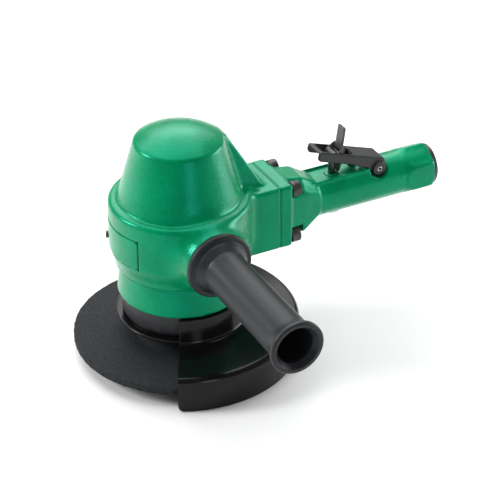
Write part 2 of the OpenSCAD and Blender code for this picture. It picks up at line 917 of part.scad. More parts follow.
module flange_screws() {
    color(black)
        at_flange_screws()
            difference() {
                union() {
                    bar_x(neck_x - screw_reach, flange_end, 0, 0, screw_d / 2);
                    bar_x(flange_end, flange_end + screw_d, 0, 0, screw_head_r);
                }
                bar_x(flange_end + screw_d / 2, flange_end + screw_d + cut, 0, 0, screw_d * 0.42, 6);
            }
}

module inlet_bushing() {
    color(dark_steel)
        difference() {
            union() {
                bar_x(handle_end, inlet_x, 0, grip_z, bushing_r);
                bar_x(handle_end - sleeve_l + strainer_t, handle_end, 0, grip_z, sleeve_r);
            }
            bar_x(inlet_x - inlet_l, inlet_x + cut, 0, grip_z, inlet_r);
            bar_x(handle_end - sleeve_l, inlet_x, 0, grip_z, inlet_r - 1.5);
        }
}

module inlet_strainer() {
    color(steel)
        bar_x(handle_end - sleeve_l, handle_end - sleeve_l + strainer_t - 0.1, 0, grip_z, sleeve_r);
}

// ---------------------------------------------------------------- throttle valve

module valve_guide() {
    color(black)
        difference() {
            translate([latch_x, 0, 0]) {
                translate([0, 0, seat_z + 15])
                    cylinder(r = 6, h = floor_z - seat_z - 15);
                translate([0, 0, floor_z])
                    cylinder(r = 6, h = 0.4);
            }
            translate([latch_x, 0, seat_z])
                cylinder(r = plunger_d / 2 + run_gap, h = 40);
        }
}

module valve_seat() {
    color(steel)
        translate([latch_x, 0, 0])
            ring(chamber_r, plunger_d / 2 + 1.8, seat_z + 0.1, seat_z + 2);
}

module valve_cap() {
    color(steel)
        translate([latch_x, 0, 0])
            difference() {
                translate([0, 0, valve_cap_z])
                    cylinder(r = chamber_r, h = 5);
                translate([0, 0, valve_cap_z - cut])
                    cylinder(r = 3, h = 3 + cut, $fn = 6);
            }
}

module valve_spring() {
    color(steel)
        translate([latch_x, 0, 0])
            coil(4.5, 1, spring_z, poppet_z);
}

module valve_plunger() {
    color(dark_steel)
        translate([latch_x, 0, seat_z])
            cylinder(r = plunger_d / 2, h = plunger_top_z - seat_z);
}

module valve_poppet() {
    color(dark_steel)
        translate([latch_x, 0, poppet_z])
            cylinder(r = poppet_r, h = poppet_t);
}

// ---------------------------------------------------------------- lever and latch

// Places what is drawn in the lever's own frame: pivot at the origin, -X to the tip.
module in_lever() {
    translate([pivot_x, 0, pivot_z])
        rotate([0, lever_slope, 0])
            children();
}

// Side view of the lever: x to the rear, y up.
module lever_side() {
    polygon(concat(
        [[-lever_l, lever_top], [-lever_l, 5.6]],
        arc(-lever_l + 4.5, 5.2, 4.5, 190, 270, 5),
        [[-26, 0.5], [-8, -2.5]],
        arc(0, 0, ear_r, 215, 385, 10),
        [[5.2, 6.2], [3.6, 8.2], [2.2, lever_top]]
    ));
}

module extrude_y(half_w) {
    translate([0, half_w, 0])
        rotate([90, 0, 0])
            linear_extrude(height = 2 * half_w)
                children();
}

window_x0 = -58;
window_x1 = -27;

module throttle_lever() {
    inner = lever_half_w - lever_t;
    color(black)
        in_lever()
            difference() {
                union() {
                    extrude_y(lever_half_w)
                        lever_side();
                    bar_y(0, 0, boss_disc_r, lever_half_w + boss_disc_t);
                }
                box([-lever_l - cut, -inner, -10], [20, inner, lever_top - lever_t]);
                box([window_x0, -inner, -10], [window_x1, inner, lever_top + cut]);
                bar_y(0, 0, lever_pin_d / 2 + run_gap, 20);
                bar_y(-latch_arm, latch_rise, latch_pin_d / 2, 20);
            }
}

module lever_pin() {
    color(steel)
        difference() {
            bar_y(pivot_x, pivot_z, lever_pin_d / 2, lever_half_w + boss_disc_t);
            bar_y(pivot_x, pivot_z, lever_pin_d / 4, lever_half_w + boss_disc_t + cut);
        }
}

module latch_pin() {
    color(steel)
        bar_y(latch_x, latch_z, latch_pin_d / 2, lever_half_w);
}

// The latch is drawn about its own pin: x to the rear, y up.
latch_spring_y0 = plunger_d / 2 + 0.6;
latch_spring_y1 = latch_spring_y0 + 2.6;
cheek_t = 1.6;
tab_t = 1.8;
tab_lean = 7.8;
tab_l = 18.9;
tab_half_w = 5.3;
toe_x = 4.2;
toe_reach = 16.9;
toe_half_w = 2.6;

// Sheet tab, drawn upright and tapering off its top corners.
module latch_tab() {
    along_x(-tab_t / 2, tab_t / 2)
        polygon([
            [0.3 - latch_half_w, -1.5], [latch_half_w - 0.3, -1.5], [latch_half_w - 0.3, 1.5], [tab_half_w, 2.2],
            [tab_half_w, tab_l - 1.4], [tab_half_w - 1.4, tab_l], [1.4 - tab_half_w, tab_l],
            [-tab_half_w, tab_l - 1.4], [-tab_half_w, 2.2], [0.3 - latch_half_w, 1.5]
        ]);
}

module lock_latch() {
    color(black)
        translate([latch_x, 0, latch_z])
            difference() {
                union() {
                    bar_y(0, 0, hub_tube_r, latch_half_w);
                    for (s = [-1, 1])
                        translate([0, s * (latch_half_w - cheek_t / 2), 0])
                            extrude_y(cheek_t / 2)
                                polygon([
                                    [-1.5, 1.5], [0.5, 3.4], [5.8, 6.6], [7.6, 6.4], [7.2, 3.2],
                                    [toe_x + tab_t - 0.2, 0.5], [toe_x + tab_t - 0.2, -4],
                                    [toe_x + 0.2, -4], [-1.5, -1.5]
                                ]);
                    translate([6.6, 0, 5])
                        rotate([0, tab_lean, 0])
                            latch_tab();
                    along_x(toe_x, toe_x + tab_t)
                        polygon([
                            [0.3 - latch_half_w, 1], [latch_half_w - 0.3, 1], [latch_half_w - 0.3, -4.5],
                            [toe_half_w, -toe_reach], [-toe_half_w, -toe_reach], [0.3 - latch_half_w, -4.5]
                        ]);
                }
                bar_y(0, 0, latch_pin_d / 2 + run_gap, 20);
            }
}

module latch_spring() {
    color(steel)
        translate([latch_x, 0, latch_z])
            rotate([90, 0, 0])
                ring(hub_tube_r + 0.9, hub_tube_r + run_gap, latch_spring_y0, latch_spring_y1);
}

// ---------------------------------------------------------------- side handle

module side_grip() {
    collar_t = 5.5;
    flare = 8;
    color(black)
        translate([0, 0, side_z])
            rotate([90, 0, 0])
                rotate_extrude()
                    polygon(concat(
                        [[side_bolt_d / 2 + 0.2, side_boss_l], [side_collar_r - 1.5, side_boss_l]],
                        arc(side_collar_r - 1.5, side_boss_l + 1.5, 1.5, -60, 0, 3),
                        arc(side_collar_r - 1.5, side_boss_l + collar_t - 1.5, 1.5, 0, 80, 3),
                        [[side_collar_r - 5, side_boss_l + collar_t + 0.2]],
                        [[side_tube_r + 4, side_boss_l + collar_t + 2.6]],
                        [[side_tube_r + 2.4, side_boss_l + collar_t + 5.4]],
                        [[side_tube_r + 0.6, side_boss_l + collar_t + 8]],
                        [[side_tube_r, side_boss_l + 16], [side_tube_r + 0.5, side_end - flare - 4]],
                        [[side_tube_r + 1.6, side_end - flare + 1]],
                        arc(side_lip_r - 2, side_end - 2, 2, -30, 90, 5),
                        [[side_bore_r + 3.2, side_end], [side_bore_r, side_end - 5]],
                        [[side_bore_r, side_boss_l + side_web]],
                        [[side_bolt_d / 2 + 0.2, side_boss_l + side_web]]
                    ));
}

module side_washer() {
    color(steel)
        translate([0, -side_boss_l - side_web, side_z])
            rotate([90, 0, 0])
                ring(12, side_bolt_d / 2 + 0.2, 0, 1.6);
}

module side_bolt() {
    head_y = side_boss_l + side_web + 1.6;
    color(steel)
        translate([0, 0, side_z])
            rotate([90, 0, 0])
                union() {
                    translate([0, 0, side_boss_l - 18])
                        cylinder(r = side_bolt_d / 2, h = head_y - side_boss_l + 18);
                    translate([0, 0, head_y])
                        cylinder(r = side_bolt_d * 0.87, h = side_bolt_d * 0.6, $fn = 6);
                }
}

motor_housing();
exhaust_cover();
cover_screw();
bearing_cap();
spindle_seal();
wheel_guard();
guard_screws();
bearing_outer(low_shaft_r, low_bearing_r, low_bearing_z, low_bearing_w);  // lower_bearing_outer
bearing_outer(top_shaft_r, top_bearing_r, top_bearing_z, top_bearing_w);  // upper_bearing_outer
lower_end_plate();
cylinder_liner();
upper_end_plate();
bearing_retainer();
retainer_screws();
handle_gasket();
throttle_handle();
flange_screws();
inlet_bushing();
inlet_strainer();
valve_guide();
valve_seat();
valve_cap();
valve_spring();
lever_pin();
side_grip();
side_bolt();
side_washer();
throttle_lever();
latch_pin();
lock_latch();
latch_spring();
valve_plunger();
valve_poppet();
spindle();
rotor();
rotor_vanes();
bearing_inner(low_shaft_r, low_bearing_r, low_bearing_z, low_bearing_w);  // lower_bearing_inner
bearing_balls(low_shaft_r, low_bearing_r, low_bearing_z, low_bearing_w);  // lower_bearing_balls
bearing_inner(top_shaft_r, top_bearing_r, top_bearing_z, top_bearing_w);  // upper_bearing_inner
bearing_balls(top_shaft_r, top_bearing_r, top_bearing_z, top_bearing_w);  // upper_bearing_balls
inner_flange();
grinding_wheel();
clamp_nut();
governor_carrier();
governor_pins();
governor_weight(1);  // governor_weight_a
governor_weight(-1);  // governor_weight_b
governor_sleeve();
governor_spring();
governor_nut();
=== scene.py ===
"""Air-driven vertical grinder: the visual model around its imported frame.

Sizes are in millimetres and are turned into metres where a mesh is made. +Z runs up the
spindle, +X along the throttle handle to the air inlet, and -Y along the side handle.
"""

import json
import logging
import math
from dataclasses import dataclass, field
from enum import Enum
from typing import Callable

import bmesh
import bpy
import numpy as np
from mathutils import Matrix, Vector


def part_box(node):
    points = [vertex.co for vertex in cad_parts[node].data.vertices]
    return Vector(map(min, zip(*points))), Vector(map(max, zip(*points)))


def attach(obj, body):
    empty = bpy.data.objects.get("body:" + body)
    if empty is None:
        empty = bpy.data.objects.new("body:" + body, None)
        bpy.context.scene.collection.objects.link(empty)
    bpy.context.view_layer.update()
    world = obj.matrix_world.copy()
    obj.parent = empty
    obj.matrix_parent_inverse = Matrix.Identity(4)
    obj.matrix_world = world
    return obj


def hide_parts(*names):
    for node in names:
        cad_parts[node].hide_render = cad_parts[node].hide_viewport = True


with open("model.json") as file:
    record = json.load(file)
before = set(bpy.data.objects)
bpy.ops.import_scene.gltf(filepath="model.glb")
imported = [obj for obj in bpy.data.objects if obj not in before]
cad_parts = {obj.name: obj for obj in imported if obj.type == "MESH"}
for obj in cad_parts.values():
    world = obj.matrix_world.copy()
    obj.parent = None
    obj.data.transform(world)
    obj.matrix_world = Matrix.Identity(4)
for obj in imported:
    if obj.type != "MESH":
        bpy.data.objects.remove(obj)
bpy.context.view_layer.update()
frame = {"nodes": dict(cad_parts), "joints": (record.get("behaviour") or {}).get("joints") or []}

LOG = logging.getLogger("grinder")
MM = 0.001
Array = np.ndarray
Field = Callable[[Array, Array, Array], Array]
Colour = tuple[float, float, float, float]


# ---------------------------------------------------------------- shader arithmetic


class Wire:
    """A shader socket that takes part in arithmetic; each operation adds one Math node."""

    def __init__(self, graph: "Graph", socket: bpy.types.NodeSocket) -> None:
        """Holds a socket and the graph that it belongs to."""
        self.graph = graph
        self.socket = socket

    def _math(self, operation: str, first: object, second: object) -> "Wire":
        """One Math node on two values or wires."""
        return self.graph.node("ShaderNodeMath", {"operation": operation}, {0: first, 1: second})

    def __add__(self, other: object) -> "Wire":
        """Sum."""
        return self._math("ADD", self, other)

    def __radd__(self, other: object) -> "Wire":
        """Sum with the wire on the right."""
        return self._math("ADD", other, self)

    def __sub__(self, other: object) -> "Wire":
        """Difference."""
        return self._math("SUBTRACT", self, other)

    def __rsub__(self, other: object) -> "Wire":
        """Difference with the wire on the right."""
        return self._math("SUBTRACT", other, self)

    def __mul__(self, other: object) -> "Wire":
        """Product."""
        return self._math("MULTIPLY", self, other)

    def __rmul__(self, other: object) -> "Wire":
        """Product with the wire on the right."""
        return self._math("MULTIPLY", other, self)

    def __pow__(self, other: object) -> "Wire":
        """Power."""
        return self._math("POWER", self, other)

    def step(self, low: float, high: float) -> "Wire":
        """A smooth step: 0 below low, 1 above high."""
        settings = {"interpolation_type": "SMOOTHSTEP"}
        return self.graph.node("ShaderNodeMapRange", settings, {"Value": self, 1: low, 2: high})


class Graph:
    """The node tree of one material, with its Principled shader ready."""

    def __init__(self, name: str) -> None:
        """Makes an empty material whose output is a Principled shader.

        Args:
            name: the material's name.
        """
        self.material = bpy.data.materials.new(name)
        self.material.use_nodes = True
        self.tree = self.material.node_tree
        self.shader = next(n for n in self.tree.nodes if n.type == "BSDF_PRINCIPLED")
        self.place = self.node("ShaderNodeTexCoord", {}, {}, "Object")

    def node(
        self, kind: str, settings: dict[str, object], inputs: dict[object, object], out: object = 0
    ) -> Wire:
        """Adds one node.

        Args:
            kind: the node's type.
            settings: its properties, such as a Math node's operation.
            inputs: a value or a wire for each socket, by name or number.
            out: the output that is returned.

        Returns:
            That output as a wire.
        """
        made = self.tree.nodes.new(kind)
        for key, value in settings.items():
            setattr(made, key, value)
        for key, value in inputs.items():
            if isinstance(value, Wire):
                self.tree.links.new(value.socket, made.inputs[key])
            else:
                made.inputs[key].default_value = value
        return Wire(self, made.outputs[out])

    def moved(self, scale: tuple[float, float, float]) -> Wire:
        """Object coordinates in millimetres, times a scale for each axis."""
        size = tuple(s / MM for s in scale)
        return self.node("ShaderNodeMapping", {}, {"Vector": self.place, "Scale": size})

    def noise(
        self,
        period: float,
        detail: float = 3.0,
        rough: float = 0.55,
        stretch: tuple[float, float, float] = (1.0, 1.0, 1.0),
    ) -> Wire:
        """Noise from 0 to 1.

        Args:
            period: the size of its features in millimetres.
            detail: octaves.
            rough: how strong each finer octave is.
            stretch: frequency along each axis.

        Returns:
            The noise value.
        """
        place = self.moved(stretch)
        values = {"Vector": place, "Scale": 1.0 / period, "Detail": detail, "Roughness": rough}
        return self.node("ShaderNodeTexNoise", {}, values)

    def mix(self, share: Wire, low: Colour, high: Colour) -> Wire:
        """A colour between two: low where share is 0, high where it is 1."""
        settings = {"data_type": "RGBA"}
        return self.node("ShaderNodeMix", settings, {0: share, 6: low, 7: high}, 2)

    def bump(self, height: Wire, depth: float, strength: float = 1.0, below: Wire | None = None) -> Wire:
        """A Bump node: height from 0 to 1 raises the surface by depth millimetres."""
        values: dict[object, object] = {"Strength": strength, "Distance": depth * MM, "Height": height}
        if below is not None:
            values["Normal"] = below
        return self.node("ShaderNodeBump", {}, values)

    def feed(self, **wires: object) -> None:
        """Sets or links sockets of the shader; a name's underscores stand for spaces."""
        for name, value in wires.items():
            socket = self.shader.inputs[name.replace("_", " ")]
            if isinstance(value, Wire):
                self.tree.links.new(value.socket, socket)
            else:
                socket.default_value = value


def srgb(red: int, green: int, blue: int) -> Colour:
    """A colour given as display values from 0 to 255, as linear light."""
    parts = [v / 255.0 for v in (red, green, blue)]
    linear = [v / 12.92 if v <= 0.04045 else ((v + 0.055) / 1.055) ** 2.4 for v in parts]
    return (linear[0], linear[1], linear[2], 1.0)


# ---------------------------------------------------------------- finishes


@dataclass(frozen=True)
class Enamel:
    """Gloss enamel on a sand casting: lumps of the mould show through a thin even coat."""

    name: str = "cast_enamel"
    slot: str = "green_casting"
    body: Colour = srgb(0, 139, 89)
    thin: Colour = srgb(2, 121, 76)
    roughness: float = 0.25
    lump: float = 2.6
    grain: float = 0.9
    cloud: float = 22.0
    lump_depth: float = 0.16
    grain_depth: float = 0.09
    gloss: float = 0.7
    glint: Colour = (0.04, 0.8, 0.62, 1.0)

    def material(self) -> bpy.types.Material:
        """Builds the material."""
        g = Graph(self.name)
        lumps = g.noise(self.lump, 2.0)
        grain = g.noise(self.grain, 2.0, 0.6)
        cloud = g.noise(self.cloud, 3.0)
        tone = (cloud * 0.6 + lumps * 0.4).step(0.3, 0.72)
        relief = g.bump(grain, self.grain_depth, 1.0, g.bump(lumps, self.lump_depth))
        g.feed(
            Base_Color=g.mix(tone, self.thin, self.body),
            Roughness=grain * 0.14 + (self.roughness - 0.07),
            Specular_IOR_Level=self.gloss,
            Specular_Tint=self.glint,
            Normal=relief,
        )
        return g.material


@dataclass(frozen=True)
class Lacquer:
    """Black stoved lacquer on sheet metal, with the faint waviness of a thick coat."""

    name: str = "stoved_lacquer"
    slot: str = "black_guard"
    body: Colour = srgb(14, 14, 16)
    roughness: float = 0.15
    peel: float = 2.2
    peel_depth: float = 0.03
    dust: float = 0.4
    speck: Colour = srgb(34, 34, 37)
    cloud: float = 16.0
    gloss: float = 0.22

    def material(self) -> bpy.types.Material:
        """Builds the material."""
        g = Graph(self.name)
        peel = g.noise(self.peel, 2.0)
        cloud = g.noise(self.cloud, 4.0)
        fleck = g.noise(self.dust, 1.0).step(0.66, 0.74)
        g.feed(
            Base_Color=g.mix(fleck * cloud, self.body, self.speck),
            Roughness=cloud * 0.12 + (self.roughness - 0.05),
            Specular_IOR_Level=self.gloss,
            Normal=g.bump(peel, self.peel_depth),
        )
        return g.material


@dataclass(frozen=True)
class Satin:
    """A satin dark finish, such as black oxide or anodising, over a fine turned or rolled texture."""

    name: str
    slot: str
    body: Colour
    light: Colour
    roughness: float
    metallic: float = 0.0
    grain: float = 0.5
    grain_depth: float = 0.015
    cloud: float = 9.0
    gloss: float = 0.45

    def material(self) -> bpy.types.Material:
        """Builds the material."""
        g = Graph(self.name)
        grain = g.noise(self.grain, 3.0, 0.6)
        cloud = g.noise(self.cloud, 4.0, 0.6)
        tone = (grain * 0.35 + cloud * 0.65).step(0.3, 0.75)
        g.feed(
            Base_Color=g.mix(tone, self.body, self.light),
            Roughness=cloud * 0.16 + grain * 0.08 + (self.roughness - 0.12),
            Specular_IOR_Level=self.gloss,
            Metallic=self.metallic,
            Normal=g.bump(grain, self.grain_depth),
        )
        return g.material


@dataclass(frozen=True)
class Moulding:
    """Moulded grip plastic: satin, with spark-eroded mould texture and faint flow clouds."""

    name: str = "moulded_grip"
    slot: str = "rubber_grip"
    body: Colour = srgb(26, 28, 31)
    light: Colour = srgb(34, 36, 40)
    roughness: float = 0.42
    spark: float = 0.45
    spark_depth: float = 0.035
    flow: float = 14.0
    gloss: float = 0.28

    def material(self) -> bpy.types.Material:
        """Builds the material."""
        g = Graph(self.name)
        spark = g.noise(self.spark, 2.0, 0.65)
        flow = g.noise(self.flow, 3.0, 0.5, (1.0, 0.4, 1.0))
        g.feed(
            Base_Color=g.mix((flow * 0.7 + spark * 0.3).step(0.3, 0.7), self.body, self.light),
            Roughness=spark * 0.12 + flow * 0.10 + (self.roughness - 0.10),
            Specular_IOR_Level=self.gloss,
            Normal=g.bump(spark, self.spark_depth),
        )
        return g.material


@dataclass(frozen=True)
class Abrasive:
    """Bonded abrasive: dark resin, coarse grit that stands proud, and a few pale grains whose glints are
    painted into the base colour.
    """

    name: str = "bonded_grit"
    slot: str = "wheel_grit"
    resin: Colour = srgb(30, 32, 35)
    grit: Colour = srgb(56, 59, 63)
    # glint: a pale colour painted on a few grains to stand for glints of light
    glint: Colour = srgb(150, 146, 140)
    grain: float = 0.75
    depth: float = 0.35
    lump: float = 2.4
    fine: float = 0.5
    gloss: float = 0.3

    def material(self) -> bpy.types.Material:
        """Builds the material."""
        g = Graph(self.name)
        cells = g.node(
            "ShaderNodeTexVoronoi",
            {"feature": "F1"},
            {"Vector": g.moved((1.0, 1.0, 1.0)), "Scale": 1.0 / self.grain, "Randomness": 1.0},
        )
        lumps = g.noise(self.lump, 3.0, 0.65)
        fine = g.noise(self.fine, 2.0, 0.7)
        grit = (1.0 - cells.step(0.15, 0.75)) * 0.55 + fine * 0.45
        base = g.mix((grit * 0.6 + lumps * 0.4).step(0.3, 0.8), self.resin, self.grit)
        # painted glints: a few grains take the pale glint colour in their base colour, standing for highlights
        painted_glints = fine.step(0.70, 0.78) * lumps.step(0.45, 0.6)
        colour = g.node("ShaderNodeMix", {"data_type": "RGBA"}, {0: painted_glints, 6: base, 7: self.glint}, 2)
        relief = g.bump(grit, self.depth, 0.8, g.bump(lumps, 0.5, 0.6))
        g.feed(
            Base_Color=colour,
            Roughness=0.95 - fine * 0.25,
            Specular_IOR_Level=self.gloss,
            Normal=relief,
        )
        return g.material


@dataclass(frozen=True)
class Machined:
    """Bare machined steel with turning or grinding marks and slight oil staining."""

    name: str
    slot: str
    body: Colour
    stain: Colour
    roughness: float = 0.32
    mark: float = 0.35
    stretch: tuple[float, float, float] = (0.35, 0.35, 3.0)

    def material(self) -> bpy.types.Material:
        """Builds the material."""
        g = Graph(self.name)
        marks = g.noise(self.mark, 2.0, 0.6, self.stretch)
        oil = g.noise(7.0, 4.0, 0.6)
        g.feed(
            Base_Color=g.mix(oil.step(0.35, 0.75), self.body, self.stain),
            Metallic=1.0,
            Roughness=marks * 0.14 + oil * 0.16 + (self.roughness - 0.15),
            Normal=g.bump(marks, 0.012),
        )
        return g.material


@dataclass(frozen=True)
class Laminate:
    """Laminated fibre board, brown, in thin plies."""

    name: str = "fibre_laminate"
    slot: str = "fibre"
    body: Colour = srgb(104, 72, 42)
    ply: Colour = srgb(150, 112, 70)

    def material(self) -> bpy.types.Material:
        """Builds the material."""
        g = Graph(self.name)
        plies = g.noise(0.9, 2.0, 0.6, (1.0, 1.0, 0.05))
        weave = g.noise(0.5, 2.0)
        g.feed(
            Base_Color=g.mix(plies.step(0.35, 0.65), self.body, self.ply),
            Roughness=weave * 0.2 + 0.5,
            Normal=g.bump(weave, 0.04),
        )
        return g.material


@dataclass(frozen=True)
class Sheet:
    """Gasket sheet or seal rubber: matt black with short fibres."""

    name: str = "gasket_sheet"
    slot: str = "gasket_black"
    body: Colour = srgb(26, 26, 27)
    fibre: Colour = srgb(58, 57, 55)

    def material(self) -> bpy.types.Material:
        """Builds the material."""
        g = Graph(self.name)
        fibres = g.noise(0.8, 4.0, 0.7, (1.0, 1.0, 0.3))
        g.feed(
            Base_Color=g.mix(fibres.step(0.55, 0.8), self.body, self.fibre),
            Roughness=fibres * 0.2 + 0.7,
            Normal=g.bump(fibres, 0.05),
        )
        return g.material


class Finish(Enum):
    """The finishes of the grinder's pieces."""

    CASTING = Enamel()
    GUARD = Lacquer()
    CAP = Satin("cap_anodised", "grey_cap", srgb(26, 27, 30), srgb(38, 39, 42), 0.40, 0.1)
    WHEEL = Abrasive()
    GRIP = Moulding()
    LEVER = Satin("lever_oxide", "lever_black", srgb(30, 32, 33), srgb(44, 46, 48), 0.36, 0.1)
    LATCH = Satin("latch_oxide", "lever_black", srgb(62, 62, 60), srgb(84, 84, 80), 0.44, 0.3)
    STEEL = Machined("turned_steel", "steel", (0.56, 0.56, 0.57, 1.0), (0.40, 0.39, 0.37, 1.0))
    DARK = Machined("blackened_steel", "dark_steel", (0.10, 0.10, 0.105, 1.0), (0.05, 0.05, 0.05, 1.0), 0.38)
    FIBRE = Laminate()
    GASKET = Sheet()


class Paint:
    """Gives pieces and CAD nodes their finish, and makes each material once."""

    def __init__(self) -> None:
        """Starts with no materials made."""
        self._made: dict[Finish, bpy.types.Material] = {}

    def material(self, finish: Finish) -> bpy.types.Material:
        """The material of a finish."""
        if finish not in self._made:
            self._made[finish] = finish.value.material()
        return self._made[finish]

    def piece(self, obj: bpy.types.Object, finish: Finish) -> None:
        """Dresses a new piece."""
        obj.data.materials.clear()
        obj.data.materials.append(self.material(finish))

    def node(self, name: str, finish: Finish) -> None:
        """Dresses a CAD node."""
        obj = frame["nodes"][name]
        for slot in obj.material_slots:
            slot.material = self.material(finish)
        if not obj.material_slots:
            obj.data.materials.append(self.material(finish))


# ---------------------------------------------------------------- distances to shapes


def union(a: Array, b: Array, blend: float) -> Array:
    """The smaller distance, lowered by blend * h^2 / 4 near the seam, h = 1 - |a - b| / blend."""
    if blend <= 0:
        return np.minimum(a, b)
    h = np.maximum(blend - np.abs(a - b), 0.0) / blend
    return np.minimum(a, b) - 0.25 * blend * h * h


def common(a: Array, b: Array, blend: float) -> Array:
    """The larger distance, with an edge rounded as in union."""
    return -union(-a, -b, blend)


def without(a: Array, b: Array, blend: float) -> Array:
    """Shape a with shape b cut away, the new edge rounded."""
    return common(a, -b, blend)


def block(x: Array, y: Array, z: Array, low: tuple, high: tuple, edge: float) -> Array:
    """Distance to a box with round edges: the length of the part of |p - c| - h + edge above 0."""
    parts = [
        np.abs(p - (lo + hi) / 2) - (hi - lo) / 2 + edge for p, lo, hi in zip((x, y, z), low, high)
    ]
    outside = np.sqrt(sum(np.maximum(q, 0.0) ** 2 for q in parts))
    return outside + np.minimum(np.maximum.reduce(parts), 0.0) - edge


def span(p: Array, low: float, high: float) -> Array:
    """Distance to the slab between low and high."""
    return np.abs(p - (low + high) / 2) - (high - low) / 2


def bar(axial: Array, u: Array, v: Array, low: float, high: float, radius: float, edge: float) -> Array:
    """Distance to a round bar from low to high along its axis, its rim rounded by edge."""
    return common(np.hypot(u, v) - radius, span(axial, low, high), edge)


def outline(x: Array, y: Array, points: list[tuple[float, float]]) -> Array:
    """Signed distance to a closed outline: the nearest of its sides, negative inside.

    A point is inside when a ray from it crosses the sides an odd number of times.
    """
    best = np.full(np.shape(x), 1e9)
    inside = np.zeros(np.shape(x), bool)
    for (x0, y0), (x1, y1) in zip(points, points[1:] + points[:1]):
        dx, dy = x1 - x0, y1 - y0
        length = dx * dx + dy * dy
        if length < 1e-12:
            continue
        t = np.clip(((x - x0) * dx + (y - y0) * dy) / length, 0.0, 1.0)
        best = np.minimum(best, (x - x0 - t * dx) ** 2 + (y - y0 - t * dy) ** 2)
        crosses = (y0 > y) != (y1 > y)
        if dy != 0:
            inside ^= crosses & (x < x0 + (y - y0) * dx / dy)
    return np.where(inside, -1.0, 1.0) * np.sqrt(best)


class TurnedField:
    """Distance to a turned shape, read from a table over (radius, height) with linear steps."""

    def __init__(self, points: list[tuple[float, float]], room: float = 26.0, step: float = 0.25) -> None:
        """Fills the table.

        Args:
            points: the outline as (radius, height), closed.
            room: how far the table reaches past the outline.
            step: spacing of the table.
        """
        radii = [p[0] for p in points]
        heights = [p[1] for p in points]
        self.r0, self.z0, self.step = 0.0, min(heights) - room, step
        r = np.arange(self.r0, max(radii) + room, step)
        z = np.arange(self.z0, max(heights) + room, step)
        grid_r, grid_z = np.meshgrid(r, z, indexing="ij")
        self.table = outline(grid_r, grid_z, points)

    def __call__(self, radius: Array, height: Array) -> Array:
        """The distance at each point, by bilinear steps between the four nearest entries."""
        u = np.clip((radius - self.r0) / self.step, 0, self.table.shape[0] - 1.001)
        v = np.clip((height - self.z0) / self.step, 0, self.table.shape[1] - 1.001)
        i, j = u.astype(int), v.astype(int)
        u, v = u - i, v - j
        t = self.table
        low = t[i, j] * (1 - u) + t[i + 1, j] * u
        high = t[i, j + 1] * (1 - u) + t[i + 1, j + 1] * u
        return low * (1 - v) + high * v


def arc(x: float, y: float, radius: float, start: float, end: float, count: int) -> list[tuple[float, float]]:
    """Points along an arc about (x, y), angles in degrees."""
    turns = np.radians(np.linspace(start, end, count + 1))
    return [(x + radius * math.cos(a), y + radius * math.sin(a)) for a in turns]


def fillet(points: list[tuple[float, float]], radii: list[float], count: int = 5) -> list[tuple[float, float]]:
    """A closed or open outline with its corners rounded.

    Each corner with a radius above 0 becomes an arc that touches both sides: the tangent length
    is radius * tan(half the turn), shortened where a side is too short for it.

    Args:
        points: the corners.
        radii: one radius for each corner; 0 keeps it sharp.
        count: steps in each arc.

    Returns:
        The rounded outline.
    """
    made: list[tuple[float, float]] = []
    total = len(points)
    for i, (here, radius) in enumerate(zip(points, radii)):
        before, after = points[i - 1], points[(i + 1) % total]
        a = np.subtract(before, here)
        b = np.subtract(after, here)
        la, lb = float(np.hypot(*a)), float(np.hypot(*b))
        if radius <= 0 or la < 1e-9 or lb < 1e-9:
            made.append((float(here[0]), float(here[1])))
            continue
        a, b = a / la, b / lb
        half = math.acos(max(-1.0, min(1.0, float(np.dot(a, b))))) / 2
        reach = min(radius / math.tan(half), 0.45 * la, 0.45 * lb)
        radius = reach * math.tan(half)
        middle = np.add(here, (a + b) / np.hypot(*(a + b)) * radius / math.sin(half))
        start = np.add(here, a * reach) - middle
        end = np.add(here, b * reach) - middle
        t0, t1 = math.atan2(start[1], start[0]), math.atan2(end[1], end[0])
        turn = (t1 - t0 + math.pi) % (2 * math.pi) - math.pi
        for k in range(count + 1):
            t = t0 + turn * k / count
            made.append((float(middle[0] + radius * math.cos(t)), float(middle[1] + radius * math.sin(t))))
    return made


# ---------------------------------------------------------------- meshes


def put_mesh(name: str, points: Array, faces: Array, crease: float = 32.0) -> bpy.types.Object:
    """Makes a mesh object from whole arrays, its faces turned outwards.

    The volume is a sixth of the sum of a . (b x c) over the triangles; where that is negative,
    every face is reversed.

    Args:
        name: the piece's name.
        points: corners in millimetres, one row each.
        faces: four corner numbers to a row; a triangle repeats its last corner.
        crease: sides that meet at more than this angle stay sharp, in degrees.

    Returns:
        The object, linked to the scene at the origin.
    """
    a, b, c, d = (points[faces[:, k]] for k in range(4))
    volume = np.einsum("ij,ij->i", a, np.cross(b, c)).sum() + np.einsum("ij,ij->i", a, np.cross(c, d)).sum()
    if volume < 0:
        faces = faces[:, ::-1]
    mesh = bpy.data.meshes.new(name)
    mesh.vertices.add(len(points))
    mesh.vertices.foreach_set("co", (points * MM).astype(np.float32).ravel())
    mesh.loops.add(faces.size)
    mesh.loops.foreach_set("vertex_index", faces.astype(np.int32).ravel())
    mesh.polygons.add(len(faces))
    mesh.polygons.foreach_set("loop_start", np.arange(0, faces.size, 4, dtype=np.int32))
    mesh.update(calc_edges=True)
    work = bmesh.new()
    work.from_mesh(mesh)
    bmesh.ops.remove_doubles(work, verts=work.verts, dist=0.004 * MM)
    bmesh.ops.dissolve_degenerate(work, edges=work.edges, dist=0.001 * MM)
    work.to_mesh(mesh)
    work.free()
    mesh.shade_smooth()
    mesh.set_sharp_from_angle(angle=math.radians(crease))
    obj = bpy.data.objects.new(name, mesh)
    bpy.context.scene.collection.objects.link(obj)
    return obj


